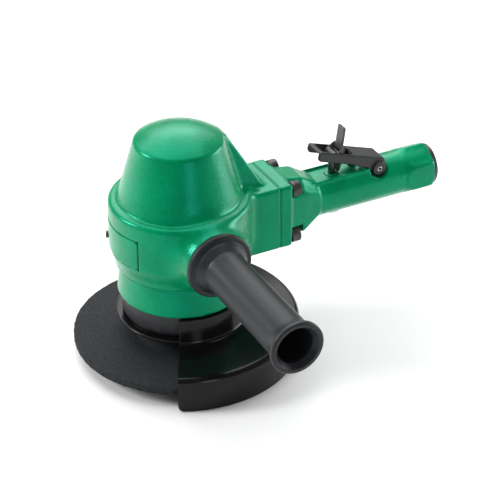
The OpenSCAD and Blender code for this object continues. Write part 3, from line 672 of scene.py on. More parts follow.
def grid_faces(rows: int, columns: int, wrap_rows: bool, wrap_columns: bool) -> Array:
    """Corner numbers of the squares of a grid whose point (i, j) is number i * columns + j."""
    i = np.arange(rows if wrap_rows else rows - 1)
    j = np.arange(columns if wrap_columns else columns - 1)
    gi, gj = np.meshgrid(i, j, indexing="ij")
    ni, nj = (gi + 1) % rows, (gj + 1) % columns
    corners = [gi * columns + gj, ni * columns + gj, ni * columns + nj, gi * columns + nj]
    return np.stack([c.ravel() for c in corners], axis=1)


class Axis(Enum):
    """The direction that a turned piece's own axis takes."""

    UP = "up"
    HANDLE = "handle"
    SIDE = "side"

    def place(self, u: Array, v: Array, w: Array) -> Array:
        """Points from the piece's own frame, whose axis is w, as rows of x, y and z."""
        order = {Axis.UP: (u, v, w), Axis.HANDLE: (w, u, v), Axis.SIDE: (u, -w, v)}
        return np.stack([p.ravel() for p in order[self]], axis=1)


@dataclass(frozen=True)
class Turned:
    """A closed outline carried once round an axis: (r cos a, r sin a, h) over the outline and a."""

    name: str
    points: list[tuple[float, float]]
    axis: Axis = Axis.UP
    centre: tuple[float, float, float] = (0.0, 0.0, 0.0)
    sides: int = 160
    crease: float = 32.0

    def build(self, shape: Callable[[Array, Array, Array], Array] | None = None) -> bpy.types.Object:
        """Makes the piece.

        Args:
            shape: gives a new radius from angle, radius and height, for a surface that isn't round.

        Returns:
            The object.
        """
        outline_points = np.array(self.points)
        angle = np.linspace(0, 2 * np.pi, self.sides, endpoint=False)
        a, r = np.meshgrid(angle, outline_points[:, 0], indexing="ij")
        h = np.broadcast_to(outline_points[:, 1], a.shape)
        if shape is not None:
            r = shape(a, r, h)
        points = self.axis.place(r * np.cos(a), r * np.sin(a), h) + np.array(self.centre)
        faces = grid_faces(self.sides, len(outline_points), True, True)
        return put_mesh(self.name, points, faces, self.crease)


@dataclass(frozen=True)
class Carved:
    """A solid given by a distance field, meshed with one corner in each cell that it crosses.

    Each crossed cell's corner starts at the mean of the crossings on the cell's edges. It is then
    drawn towards its neighbours' mean, and moved onto the surface along the field's gradient g by
    -f g / |g|^2, a few times. One square joins the four cells round each crossed edge.
    """

    name: str
    solid: Field
    low: tuple[float, float, float]
    high: tuple[float, float, float]
    step: float
    crease: float = 60.0
    rounds: int = 3

    def build(self) -> bpy.types.Object:
        """Makes the piece."""
        axes = [np.arange(lo - 1.5 * self.step, hi + 2.5 * self.step, self.step)
                for lo, hi in zip(self.low, self.high)]
        values = self.solid(*np.meshgrid(*axes, indexing="ij"))
        inside = values < 0
        origin = np.array([a[0] for a in axes])
        size = np.array(values.shape) - 1
        cells, number = self._crossed_cells(inside, size)
        points = origin + self._mean_crossing(values, inside, cells) * self.step
        faces = self._squares(inside, number)
        for _ in range(self.rounds):
            points = self._evened(points, faces)
            points = self._onto_surface(points)
        return put_mesh(self.name, points, faces, self.crease)

    @staticmethod
    def _crossed_cells(inside: Array, size: Array) -> tuple[Array, Array]:
        """The cells with corners on both sides, and a number for each."""
        corners = [
            inside[i:size[0] + i, j:size[1] + j, k:size[2] + k]
            for i in (0, 1) for j in (0, 1) for k in (0, 1)
        ]
        some = np.logical_or.reduce(corners) & ~np.logical_and.reduce(corners)
        cells = np.argwhere(some)
        number = np.full(some.shape, -1, np.int64)
        number[some] = np.arange(len(cells))
        return cells, number

    @staticmethod
    def _mean_crossing(values: Array, inside: Array, cells: Array) -> Array:
        """The mean of the points where the surface crosses each cell's twelve edges."""
        total = np.zeros((len(cells), 3))
        count = np.zeros((len(cells), 1))
        for axis in range(3):
            for p in (0, 1):
                for q in (0, 1):
                    start = np.array([0, 0, 0])
                    start[(axis + 1) % 3], start[(axis + 2) % 3] = p, q
                    end = start.copy()
                    end[axis] = 1
                    a, b = tuple((cells + start).T), tuple((cells + end).T)
                    crossed = (inside[a] != inside[b])[:, None]
                    fa, fb = values[a], values[b]
                    gap = np.where(np.abs(fa - fb) < 1e-9, 1.0, fa - fb)
                    share = np.clip(fa / gap, 0.0, 1.0)[:, None]
                    total += np.where(crossed, start + share * (end - start), 0.0)
                    count += crossed
        return cells + total / np.maximum(count, 1)

    @staticmethod
    def _squares(inside: Array, number: Array) -> Array:
        """The four cells round each crossed edge, in the order that faces outwards."""
        made = []
        for axis in range(3):
            low = [slice(None)] * 3
            high = [slice(None)] * 3
            low[axis], high[axis] = slice(0, -1), slice(1, None)
            crossed = inside[tuple(low)] != inside[tuple(high)]
            at = np.argwhere(crossed)
            u, v = (axis + 1) % 3, (axis + 2) % 3
            limit = np.array(number.shape)
            at = at[(at[:, u] > 0) & (at[:, v] > 0) & (at[:, u] < limit[u]) & (at[:, v] < limit[v])]
            ring = []
            for du, dv in ((-1, -1), (0, -1), (0, 0), (-1, 0)):
                cell = at.copy()
                cell[:, u] += du
                cell[:, v] += dv
                ring.append(number[tuple(cell.T)])
            faces = np.stack(ring, axis=1)
            leaving = inside[tuple(at.T)]
            made.append(np.where(leaving[:, None], faces, faces[:, ::-1]))
        return np.concatenate(made)

    @staticmethod
    def _evened(points: Array, faces: Array) -> Array:
        """Each point halfway to the mean of the points that share a side with it."""
        a = faces.ravel()
        b = np.roll(faces, -1, axis=1).ravel()
        near = np.concatenate([a, b]), np.concatenate([b, a])
        count = np.bincount(near[0], minlength=len(points))[:, None]
        total = np.stack([np.bincount(near[0], points[near[1], k], len(points)) for k in range(3)], axis=1)
        return 0.5 * points + 0.5 * total / np.maximum(count, 1)

    def _onto_surface(self, points: Array) -> Array:
        """Moves points onto the surface in two steps along the gradient."""
        reach = 0.04 * self.step
        for _ in range(2):
            value = self.solid(*points.T)
            slope = np.stack([
                (self.solid(*(points + d).T) - self.solid(*(points - d).T)) / (2 * reach)
                for d in np.eye(3) * reach
            ], axis=1)
            square = np.maximum((slope * slope).sum(axis=1), 0.05)
            move = -(value / square)[:, None] * slope
            far = np.maximum(np.linalg.norm(move, axis=1, keepdims=True) / (0.7 * self.step), 1.0)
            points = points + move / far
        return points


# ---------------------------------------------------------------- places from the frame


def corners(node: str) -> tuple[Vector, Vector]:
    """A CAD node's lowest and highest corners in millimetres."""
    low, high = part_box(node)
    return low / MM, high / MM


def joint_place(name: str) -> tuple[float, float, float]:
    """A joint's point in millimetres."""
    found = next(j for j in frame["joints"] if j["name"] == name)
    x, y, z = found["pos_m"]
    return (x / MM, y / MM, z / MM)


@dataclass
class Part:
    """One sub-assembly: what it builds and how it is dressed."""

    paint: Paint

    def put(self, obj: bpy.types.Object, finish: Finish, body: str, *nodes: str) -> None:
        """Dresses a piece, rides it on its body and lets it stand for its CAD nodes."""
        self.paint.piece(obj, finish)
        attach(obj, body)
        if nodes:
            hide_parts(*nodes)
        LOG.info("%s: %d faces on %s", obj.name, len(obj.data.polygons), body)


# ---------------------------------------------------------------- sub-assemblies


@dataclass
class MotorHousing(Part):
    """The cast housing: a turned body under a bell, a side boss, a square neck and a fin."""

    band_r: float = 52.1
    band_top_r: float = 49.2
    band_h: float = 26.3
    bulge_h: float = 19.0
    body_h: float = 57.8
    ledge_round: float = 4.2
    bell_r0: float = 49.4
    bell_r1: float = 35.8
    bell_h: float = 50.0
    dome_h: float = 10.5
    motor_r: float = 44.05
    motor_h: float = 79.8
    boss_root_r: float = 40.0
    boss_face_r: float = 25.5
    side_z: float = 0.0
    neck_z: float = 0.0
    neck_half_w: float = 26.0
    neck_half_h: float = 28.5
    cover_mid: float = 163.4
    cover_half: float = 45.4
    cover_z0: float = 90.0
    cover_h: float = 26.0
    cover_depth: float = 2.2
    gap: float = 0.6
    window: float = 134.0
    window_half_w: float = 8.0
    window_edge: float = 5.0
    slots: tuple[float, ...] = (-6.0, -2.0, 2.0, 6.0)
    slot_half_w: float = 0.9
    screw_turn: float = -9.9
    screw_rise: float = 5.0
    screw_r: float = 2.05
    grid: float = 1.2

    def __post_init__(self) -> None:
        """Takes the casting's outer limits from its CAD node."""
        low, high = corners("motor_housing")
        self.base = low.z
        self.body_r = -low.x
        self.boss_l = -low.y
        self.neck_x = high.x
        grip_low, grip_high = corners("side_grip")
        self.side_z = (grip_low.z + grip_high.z) / 2
        flange_low, flange_high = corners("handle_gasket")
        self.neck_z = (flange_low.z + flange_high.z) / 2
        cover_low, cover_high = corners("exhaust_cover")
        self.cover_z0, self.cover_h = cover_low.z, cover_high.z - cover_low.z
        self.rise = self.base + self.band_h
        self.ledge = self.rise + self.body_h
        self.bell_top = self.ledge + self.bell_h
        self.shell = TurnedField(self.half_section())
        self.bore = TurnedField(self.bore_section())

    def half_section(self) -> list[tuple[float, float]]:
        """The outside from the axis at the base round to the dome's top.

        The bulge between band and body is half a cosine wave; the dome is part of a sphere.
        """
        dome_r = (self.bell_r1**2 + self.dome_h**2) / (2 * self.dome_h)
        share = np.linspace(0.0, 1.0, 13)
        swell = (self.body_r - self.band_r - 1.1) * (1 - np.cos(np.pi * share)) / 2
        bulge = [(self.band_r + 1.1 + s, self.rise + self.bulge_h * t) for s, t in zip(swell, share)]
        r = self.ledge_round
        lean = math.asin((self.bell_r1 - 1.0) / dome_r)
        dome = [
            (dome_r * math.sin(a), self.bell_top + self.dome_h - dome_r * (1 - math.cos(a)))
            for a in np.linspace(lean, 0.0, 14)
        ]
        foot = fillet([(self.band_r - 3, self.base), (self.band_r, self.base),
                       (self.band_top_r, self.rise - 1.6)], [0, 0.8, 0])[1:]
        return (
            [(-8.0, self.base), (self.band_r - 3, self.base)] + foot[:-1]
            + [(self.band_top_r, self.rise - 1.6), (self.band_top_r + 0.6, self.rise - 1.1)]
            + [(self.band_r + 0.3, self.rise - 0.3), (self.band_r + 0.9, self.rise + 0.1)]
            + bulge[1:]
            + arc(self.body_r - r, self.ledge - r, r, 0, 88, 8)
            + [(self.bell_r0 + 2.0, self.ledge), (self.bell_r0 + 0.8, self.ledge + 0.4)]
            + [(self.bell_r0, self.ledge + 1.6), (self.bell_r1 + 0.35, self.bell_top - 1.5)]
            + [(self.bell_r1 + 0.05, self.bell_top - 0.7), (self.bell_r1 - 0.35, self.bell_top - 0.1)]
            + dome + [(-8.0, self.bell_top + self.dome_h)]
        )

    def bore_section(self) -> list[tuple[float, float]]:
        """The hollow: the cap's spigot, the motor's bore and the governor's room in the bell."""
        motor_top = self.base + 5.8 + self.motor_h
        return [
            (-8, self.base - 4), (45.6, self.base - 4), (45.6, self.base + 5.8),
            (self.motor_r, self.base + 5.8), (self.motor_r, motor_top),
            (self.bell_r0 - 11, motor_top), (self.bell_r1 - 8, self.bell_top - 5),
            (self.bell_r1 / 2, self.bell_top + 2), (-8, self.bell_top + 4),
        ]

    def fin(self, x: Array, y: Array, z: Array) -> Array:
        """Distance to the fin: two leaning sides and a sloping crest from the bell to the neck."""
        top_x, top_z = self.bell_r1 + 2, self.bell_top - 1.5
        foot_x, foot_z = self.neck_x - 8.5, self.neck_z + self.neck_half_h - 1
        length = math.hypot(foot_x - top_x, top_z - foot_z)
        crest = ((x - top_x) * (top_z - foot_z) + (z - top_z) * (foot_x - top_x)) / length
        half = 9.0 + 6.0 * np.clip((top_z - z) / (top_z - foot_z), -0.2, 1.2)
        sides = np.abs(y) - half
        solid = common(crest, sides, 2.4)
        return common(solid, np.maximum(span(z, foot_z - 4, top_z), 20.0 - x), 1.0)

    def cover_seat(self, x: Array, y: Array, z: Array) -> Array:
        """Distance to the pocket that the exhaust cover lies in, less its groove's width."""
        turn = math.radians(self.cover_mid)
        u = x * math.cos(turn) + y * math.sin(turn)
        v = y * math.cos(turn) - x * math.sin(turn)
        radius = np.hypot(u, v)
        sweep = (np.abs(np.arctan2(v, u)) - math.radians(self.cover_half)) * radius - self.gap
        tall = span(z, self.cover_z0 - self.gap, self.cover_z0 + self.cover_h + self.gap)
        return common(common(self.body_r - self.cover_depth - radius, sweep, 0.6), tall, 0.6)

    def solid(self, x: Array, y: Array, z: Array) -> Array:
        """Distance to the casting: body, boss, neck and fin blended, then the hollows cut."""
        radius = np.hypot(x, y)
        body = self.shell(radius, z)
        taper = (self.boss_root_r - self.boss_face_r) / self.boss_l
        cone = (np.hypot(x, z - self.side_z) - self.boss_root_r - taper * y) / math.hypot(1, taper)
        body = union(body, common(cone, span(-y, 0, self.boss_l), 1.4), 9.0)
        low = (10.0, -self.neck_half_w, self.neck_z - self.neck_half_h)
        high = (self.neck_x + 8, self.neck_half_w, self.neck_z + self.neck_half_h)
        neck = common(block(x, y, z, low, high, 3.2), x - self.neck_x, 1.0)
        body = union(body, neck, 6.0)
        body = union(body, self.fin(x, y, z), 3.5)
        body = without(body, self.bore(radius, z), 0.8)
        body = without(body, self.cover_seat(x, y, z), 0.6)
        port = bar(x, y, z - self.neck_z, 20, self.neck_x + 6, 8.0, 0.5)
        bolt = bar(y, x, z - self.side_z, -self.boss_l - 6, 20 - self.boss_l, 6.0, 0.5)
        body = without(without(body, port, 0.8), bolt, 0.8)
        turn = math.radians(self.window)
        u, v = x * math.cos(turn) + y * math.sin(turn), y * math.cos(turn) - x * math.sin(turn)
        low = (38, -self.window_half_w, self.cover_z0 + self.window_edge)
        high = (60, self.window_half_w, self.cover_z0 + self.cover_h - self.window_edge)
        return without(body, block(u, v, z, low, high, 1.5), 0.6)

    def cover(self, x: Array, y: Array, z: Array) -> Array:
        """Distance to the exhaust cover: a curved plate with four slots and a screw hole."""
        turn = math.radians(self.cover_mid)
        u = x * math.cos(turn) + y * math.sin(turn)
        v = y * math.cos(turn) - x * math.sin(turn)
        radius, angle = np.hypot(u, v), np.arctan2(v, u)
        sweep = (np.abs(angle) - math.radians(self.cover_half)) * radius
        plate = common(sweep, span(z, self.cover_z0, self.cover_z0 + self.cover_h), 2.6)
        plate = common(plate, span(radius, self.body_r - self.cover_depth, self.body_r + 0.3), 0.9)
        rise = self.window_edge + 1
        for slot in self.slots:
            across = (angle - math.radians(self.window - self.cover_mid + slot)) * radius
            mouth = common(span(across, -self.slot_half_w, self.slot_half_w),
                           span(z, self.cover_z0 + rise, self.cover_z0 + self.cover_h - rise), 1.2)
            plate = without(plate, mouth, 0.4)
        across = (angle - math.radians(self.screw_turn)) * radius
        hole = np.hypot(across, z - self.cover_z0 - self.screw_rise) - self.screw_r
        return without(plate, hole, 0.4)

    def build(self) -> None:
        """Makes the casting and its cover."""
        low, high = corners("motor_housing")
        casting = Carved("housing_casting", self.solid, tuple(low), tuple(high), self.grid).build()
        self.put(casting, Finish.CASTING, "root", "motor_housing")
        low, high = corners("exhaust_cover")
        cover = Carved("exhaust_plate", self.cover, tuple(low), tuple(high), 0.55).build()
        self.put(cover, Finish.CASTING, "root", "exhaust_cover")
        self.paint.node("cover_screw", Finish.DARK)


@dataclass
class Nose(Part):
    """The bearing cap and the half guard that is screwed under it."""

    sheet: float = 2.5
    bend: float = 5.0
    skirt_top: float = 18.3
    plate_rise: float = 3.9
    turn: float = -118.0
    corner: float = 5.0
    ring_in_r: float = 36.0
    screw_r: float = 2.7
    pitch_r: float = 41.5

    def __post_init__(self) -> None:
        """Takes the cap's and the guard's limits from their CAD nodes."""
        low, high = corners("wheel_guard")
        self.foot, self.guard_top = low.z, high.z
        self.guard_r = -low.y
        ring_low, ring_high = corners("bearing_cap")
        self.cap_z, self.cap_top = ring_low.z, ring_high.z
        self.cap_r = ring_high.x
        self.collar_r = 54.0

    def guard_section(self) -> list[tuple[float, float]]:
        """Half section of the cover, from the skirt's foot over the bend to the collar and back."""
        plate = self.skirt_top + self.plate_rise
        middle = (self.guard_r - self.bend, self.skirt_top - self.bend)
        inner = self.bend - self.sheet
        top_in = self.collar_r - self.sheet
        return (
            fillet([(self.guard_r - self.sheet, self.foot), (self.guard_r, self.foot),
                    (self.guard_r, self.foot + 4), (self.guard_r - self.sheet, self.foot + 4)],
                   [0.7, 0.7, 0, 0], 3)[:8]
            + arc(*middle, self.bend, 0, 84, 9)
            + arc(self.collar_r + 3.2, plate + 2.9, 3.2, 262, 180, 6)
            + fillet([(self.collar_r, self.guard_top - 4), (self.collar_r, self.guard_top),
                      (top_in, self.guard_top), (top_in, self.guard_top - 4)], [0, 0.7, 0.7, 0], 3)[1:9]
            + [(top_in, plate - self.sheet + 1.2), (top_in + 1.2, plate - self.sheet)]
            + arc(*middle, inner, 84, 0, 7)
        )

    def cover(self) -> bpy.types.Object:
        """The half cover: its section carried through 180 degrees, its lower corners rounded.

        Within a corner's radius R of an end, the foot rises by R - sqrt(R^2 - (R - s)^2), where s
        is the distance from the end; points above the foot rise by less, down to none at the bend.
        """
        section = np.array(self.guard_section())
        ends = np.degrees(self.corner / self.guard_r) * (1 - np.cos(np.linspace(0, np.pi / 2, 8)))
        middle = np.linspace(ends[-1], 180 - ends[-1], 132)[1:-1]
        degrees = np.concatenate([ends, middle, 180 - ends[::-1]])
        a, r = np.meshgrid(np.radians(degrees + self.turn), section[:, 0], indexing="ij")
        h = np.broadcast_to(section[:, 1], a.shape).copy()
        s = np.minimum(degrees, 180 - degrees) * math.pi / 180 * self.guard_r
        lift = self.corner - np.sqrt(np.maximum(self.corner**2 - np.maximum(self.corner - s, 0) ** 2, 0))
        reach = np.clip((self.skirt_top - self.bend - h) / (self.skirt_top - self.bend - self.foot), 0, 1)
        h += lift[:, None] * reach
        points = Axis.UP.place(r * np.cos(a), r * np.sin(a), h)
        count = len(section)
        faces = grid_faces(len(degrees), count, False, True)
        obj = put_mesh("guard_cover", points, faces)
        self._close_ends(obj)
        edge = obj.modifiers.new("edge", "BEVEL")
        edge.width, edge.segments, edge.limit_method = 0.35 * MM, 2, "ANGLE"
        edge.angle_limit = math.radians(50)
        return obj

    @staticmethod
    def _close_ends(obj: bpy.types.Object) -> None:
        """Closes the two open ends with one face each, and turns the faces outwards."""
        work = bmesh.new()
        work.from_mesh(obj.data)
        rim = [e for e in work.edges if e.is_boundary]
        bmesh.ops.holes_fill(work, edges=rim, sides=0)
        bmesh.ops.recalc_face_normals(work, faces=work.faces)
        work.to_mesh(obj.data)
        work.free()
        obj.data.set_sharp_from_angle(angle=math.radians(40))

    def ring(self, x: Array, y: Array, z: Array) -> Array:
        """Distance to the guard's ring, with holes for its four screws."""
        radius = np.hypot(x, y)
        tall = span(z, self.cap_z - self.sheet, self.cap_z)
        solid = common(span(radius, self.ring_in_r, self.collar_r), tall, 0.9)
        u, v = (x + y) / math.sqrt(2), (y - x) / math.sqrt(2)
        for a, b in ((u, v), (-u, v), (v, u), (-v, u)):
            solid = without(solid, np.hypot(a - self.pitch_r, b) - self.screw_r, 0.5)
        return solid

    def cap_section(self) -> list[tuple[float, float]]:
        """Half section of the bearing cap, with its outer corners broken."""
        base = self.cap_top - 5.8
        points = [
            (13.0, self.cap_z), (self.cap_r - 1.6, self.cap_z), (self.cap_r - 1.6, self.cap_z + 2.5),
            (self.cap_r, self.cap_z + 3.1), (self.cap_r, base), (self.cap_r - 3.1, base),
            (self.cap_r - 3.1, self.cap_top), (26.5, self.cap_top), (26.5, 49.0), (23.5, 49.0),
            (23.5, 34.0), (15.0, 34.0), (15.0, self.cap_z + 1), (13.0, self.cap_z + 1),
        ]
        return fillet(points, [0.3, 0.6, 0.4, 0.5, 0.3, 0, 0.4, 0.4, 0.3, 0.3, 0.2, 0.2, 0.2, 0.3], 4)

    def build(self) -> None:
        """Makes the cap, the half cover and its ring."""
        cap = Turned("cap_shell", self.cap_section(), sides=192).build()
        self.put(cap, Finish.CAP, "root", "bearing_cap")
        self.put(self.cover(), Finish.GUARD, "root", "wheel_guard")
        low = (-self.collar_r, -self.collar_r, self.cap_z - self.sheet)
        high = (self.collar_r, self.collar_r, self.cap_z)
        ring = Carved("guard_ring", self.ring, low, high, 0.8).build()
        self.put(ring, Finish.GUARD, "root", "wheel_guard")
        self.paint.node("guard_screws", Finish.STEEL)
        self.paint.node("spindle_seal", Finish.GASKET)


@dataclass
class Wheel(Part):
    """The depressed-centre grinding wheel, its rim a little broken."""

    hub_r: float = 30.0
    dish_run: float = 10.0
    bore_r: float = 11.115
    thick: float = 6.7
    chip: float = 0.45
    seed: int = 11

    def section(self) -> list[tuple[float, float]]:
        """Half section of the wheel, closed at the bore; the rim has many short steps."""
        low, high = corners("grinding_wheel")
        face, hub_top, rim = low.z, high.z, high.x
        hub_low, rim_top = hub_top - self.thick, face + self.thick
        corner_points = [
            (self.bore_r, hub_low), (self.hub_r - 2, hub_low), (self.hub_r - 2 + self.dish_run, face),
            (rim - 0.7, face), (rim - 0.7, rim_top), (self.hub_r + self.dish_run, rim_top),
            (self.hub_r, hub_top), (self.bore_r, hub_top),
        ]
        soft = fillet(corner_points, [0.4, 2.0, 2.5, 0, 0, 3.0, 2.0, 0.4], 4)
        corner = next(i for i, p in enumerate(soft) if p == (rim - 0.7, face))
        steps = fillet([(rim - 4, face), (rim - 0.7, face), (rim - 0.7, rim_top), (rim - 4, rim_top)],
                       [0, 0.9, 0.9, 0], 4)
        side = [(rim - 0.7, h) for h in np.linspace(face + 1.2, rim_top - 1.2, 7)]
        middle = len(steps) // 2
        return soft[:corner] + steps[:middle] + side + steps[middle:] + soft[corner + 2:]

    def broken(self, angle: Array, radius: Array, height: Array) -> Array:
        """The rim's radius moved by a seeded mix of waves and grains, no further than the CAD rim."""
        rim = corners("grinding_wheel")[1].x
        rng = np.random.default_rng(self.seed)
        waves = sum(
            rng.uniform(0.3, 1.0) * np.sin(k * angle + rng.uniform(0, 6.28) + height * rng.uniform(-0.6, 0.6))
            for k in rng.integers(9, 90, 14)
        ) / 8.0
        grains = rng.normal(0.0, 0.5, angle.shape)
        near = np.clip((radius - (rim - 2.2)) / 1.4, 0.0, 1.0)
        return np.minimum(radius + near * self.chip * (waves + grains), rim)

    def build(self) -> None:
        """Makes the wheel and dresses its clamp."""
        wheel = Turned("abrasive_wheel", self.section(), sides=640, crease=75).build(self.broken)
        self.put(wheel, Finish.WHEEL, "spindle", "grinding_wheel")
        self.paint.node("inner_flange", Finish.STEEL)
        self.paint.node("clamp_nut", Finish.DARK)


@dataclass
class ThrottleHandle(Part):
    """The cast handle: flange, eight-sided funnel, flat-sided grip and hexagonal inlet boss."""

    flange_t: float = 11.3
    funnel_l: float = 29.5
    boss_l: float = 26.5
    boss_r: float = 21.3
    boss_taper: float = 8.0
    grip_r: float = 18.7
    grip_half_w: float = 17.9
    pad_half_w: float = 12.6
    pocket_half_w: float = 10.7
    lug_half_w: float = 7.7
    pad_rise: float = 17.5
    floor_rise: float = 15.5
    deep_rise: float = 10.5
    ear_room_r: float = 7.5
    screw_y: float = 19.5
    screw_z: float = 21.5
    screw_r: float = 4.0
    screw_l: float = 8.0
    bushing_r: float = 17.6
    thread_pitch: float = 1.4
    thread_depth: float = 0.75

    def __post_init__(self) -> None:
        """Takes the handle's ends, its axis and the lever's pivot from the frame."""
        low, high = corners("throttle_handle")
        self.x0, self.end = low.x, high.x
        self.flange_end = self.x0 + self.flange_t
        self.boss_x = self.end - self.boss_l
        bush_low, bush_high = corners("inlet_bushing")
        self.axis_z = (bush_low.z + bush_high.z) / 2
        self.inlet_x = bush_high.x
        gasket_low, gasket_high = corners("handle_gasket")
        self.neck_z = (gasket_low.z + gasket_high.z) / 2
        self.pivot_x, _, self.pivot_z = joint_place("lever_press")
        self.latch_x, _, _ = joint_place("latch_tip")
        self.head_r = self.screw_r * 1.62

    def funnel(self, x: Array, y: Array, z: Array) -> Array:
        """Distance to the funnel: the largest of five sides of an eight-sided section.

        The section's half widths and heights run in straight lines between three stations.
        """
        stations = [self.flange_end - 1, self.flange_end + self.funnel_l / 2, self.flange_end + self.funnel_l]
        top_w, top_z, side_w, side_z0, side_z1, low_z = (
            np.interp(x, stations, values)
            for values in (
                (11.0, 11.0, 9.0), (29.0, 26.0, 17.5), (22.0, 20.3, self.grip_half_w),
                (-23.0, -19.3, -9.5), (16.0, 14.3, 10.5), (-26.0, -23.0, -16.4),
            )
        )
        w, h = np.abs(y), z - self.axis_z
        drop, run = top_z - side_z1, side_w - top_w
        upper = ((w - top_w) * drop + (h - top_z) * run) / np.hypot(drop, run)
        fall = side_z0 - low_z
        lower = ((w - side_w) * fall - (h - side_z0) * run) / np.hypot(fall, run)
        solid = common(common(h - top_z, upper, 1.6), common(lower, low_z - h, 2.4), 2.4)
        solid = common(solid, w - side_w, 2.4)
        return common(solid, span(x, self.flange_end - 3, self.flange_end + self.funnel_l), 1.0)

    def raw(self, x: Array, y: Array, z: Array) -> Array:
        """Distance to the casting before its pockets: flange, funnel, grip, boss and pad."""
        h = z - self.axis_z
        low = (self.x0 - 6, -26.0, self.neck_z - 28.5)
        high = (self.flange_end, 26.0, self.neck_z + 28.5)
        solid = common(block(x, y, z, low, high, 3.0), self.x0 - x, 0.8)
        solid = union(solid, self.funnel(x, y, z), 3.0)
        grip = common(np.hypot(y, h) - self.grip_r, np.abs(y) - self.grip_half_w, 1.6)
        grip = common(grip, span(x, self.flange_end + self.funnel_l - 5, self.end - 4), 1.0)
        solid = union(solid, grip, 2.0)
        flat = self.boss_r * math.cos(math.pi / 6)
        boss = common(np.abs(y) - flat, 0.5 * np.abs(y) + math.cos(math.pi / 6) * np.abs(h) - flat, 1.0)
        cone = np.interp(x, [self.boss_x, self.boss_x + self.boss_taper, self.end - 4.5, self.end],
                         [self.grip_r - 0.4, self.boss_r, self.boss_r, self.boss_r - 1.5])
        boss = common(common(boss, np.hypot(y, h) - cone, 0.8), span(x, self.boss_x, self.end), 1.2)
        solid = union(solid, boss, 1.2)
        funnel_end = self.flange_end + self.funnel_l
        pad = block(x, y, h, (funnel_end - 8, -self.pad_half_w, 0.0),
                    (self.pivot_x - 9, self.pad_half_w, self.pad_rise), 1.2)
        lug = block(x, y, h, (self.pivot_x - 14, -self.lug_half_w, 0.0),
                    (self.pivot_x + 6, self.lug_half_w, self.pad_rise), 0.8)
        return union(union(solid, pad, 1.6), lug, 0.6)

    def solid(self, x: Array, y: Array, z: Array) -> Array:
        """Distance to the casting: the raw shape with pockets, ear room, bores and screw seats."""
        h = z - self.axis_z
        body = self.raw(x, y, z)
        funnel_end = self.flange_end + self.funnel_l
        pocket = block(x, y, h, (funnel_end, -self.pocket_half_w, self.floor_rise),
                       (self.pivot_x - 20, self.pocket_half_w, 40), 0.8)
        deep = block(x, y, h, (self.pivot_x - 20.5, -self.pocket_half_w, self.deep_rise),
                     (self.pivot_x - 8, self.pocket_half_w, 40), 0.8)
        body = without(body, union(pocket, deep, 0.4), 0.8)
        dx, dz = x - self.pivot_x, z - self.pivot_z
        ears = common(np.hypot(dx, dz) - self.ear_room_r, self.lug_half_w - np.abs(y), 0.5)
        sides = common(block(dx, y, h, (-9, -30, self.deep_rise), (0, 30, 40), 0.4),
                       self.lug_half_w - np.abs(y), 0.5)
        body = without(body, union(ears, sides, 0.4), 0.8)
        reach = self.lug_half_w + 1
        relief = block(dx, y, dz, (2.0, -reach, 2.0), (self.ear_room_r, reach, 30), 0.4)
        body = without(body, relief, 0.5)
        body = without(body, np.hypot(dx, dz) - 2.5, 0.3)
        return self._bored(body, x, y, z)

    def _bored(self, body: Array, x: Array, y: Array, z: Array) -> Array:
        """Cuts the air way, the valve chamber, the screw holes and their seats."""
        h = z - self.axis_z
        inlet = bar(x, y, h, self.end - 14, self.end + 8, 12.0, 0.4)
        way = bar(x, y, h, self.latch_x + 24, self.end, 8.5, 0.4)
        feed = bar(x, y, h + 5.0, self.latch_x, self.latch_x + 26, 4.5, 0.4)
        lead = bar(x, y, h - 6.0, self.x0 - 6, self.latch_x, 6.0, 0.4)
        bore = union(union(inlet, way, 0.4), union(feed, lead, 0.4), 0.4)
        chamber = bar(z, x - self.latch_x, y, self.axis_z - 30, self.axis_z - 0.5, 8.5, 0.4)
        neck = bar(z, x - self.latch_x, y, self.axis_z - 3, self.axis_z + 40, 6.0, 0.4)
        body = without(body, union(bore, union(chamber, neck, 0.4), 0.4), 0.6)
        w, t = np.abs(y) - self.screw_y, np.abs(z - self.neck_z) - self.screw_z
        shank = np.hypot(w, t) - self.screw_r - 0.25
        seat = common(np.hypot(w, t) - self.head_r - 1.0,
                      span(x, self.flange_end, self.flange_end + self.screw_l + 4), 0.6)
        near = common(shank, span(x, self.x0 - 6, self.flange_end + 6), 0.4)
        return without(body, union(near, seat, 0.3), 0.7)

    def screw_section(self) -> list[tuple[float, float]]:
        """Half section of a socket screw, from the socket's floor round to the shank's tip."""
        head, r = self.screw_l, self.screw_r
        socket = r * 0.82
        return [
            (0.0, head / 2 - 0.6), (socket, head / 2), (socket, head - 0.5), (socket + 0.5, head),
            (self.head_r - 0.8, head), (self.head_r - 0.25, head - 0.2), (self.head_r, head - 0.8),
            (self.head_r, 0.5), (self.head_r - 0.5, 0.0), (r, 0.0), (r, -26.0), (r - 0.9, -27.3), (0.0, -27.3),
        ]

    def screw_shape(self, angle: Array, radius: Array, height: Array) -> Array:
        """Six flats in the socket, and a knurl of fine waves round the head."""
        sixth = math.pi / 3
        flat = np.cos((angle + sixth / 2) % sixth - sixth / 2)
        inside = (radius > 0.1) & (radius < self.screw_r * 0.83) & (height > self.screw_l / 2 - 0.1)
        knurled = (radius > self.head_r - 0.1) & (height > 0.4)
        radius = np.where(inside, radius / flat, radius)
        return np.where(knurled, radius - 0.14 * np.abs(np.sin(18 * angle)), radius)

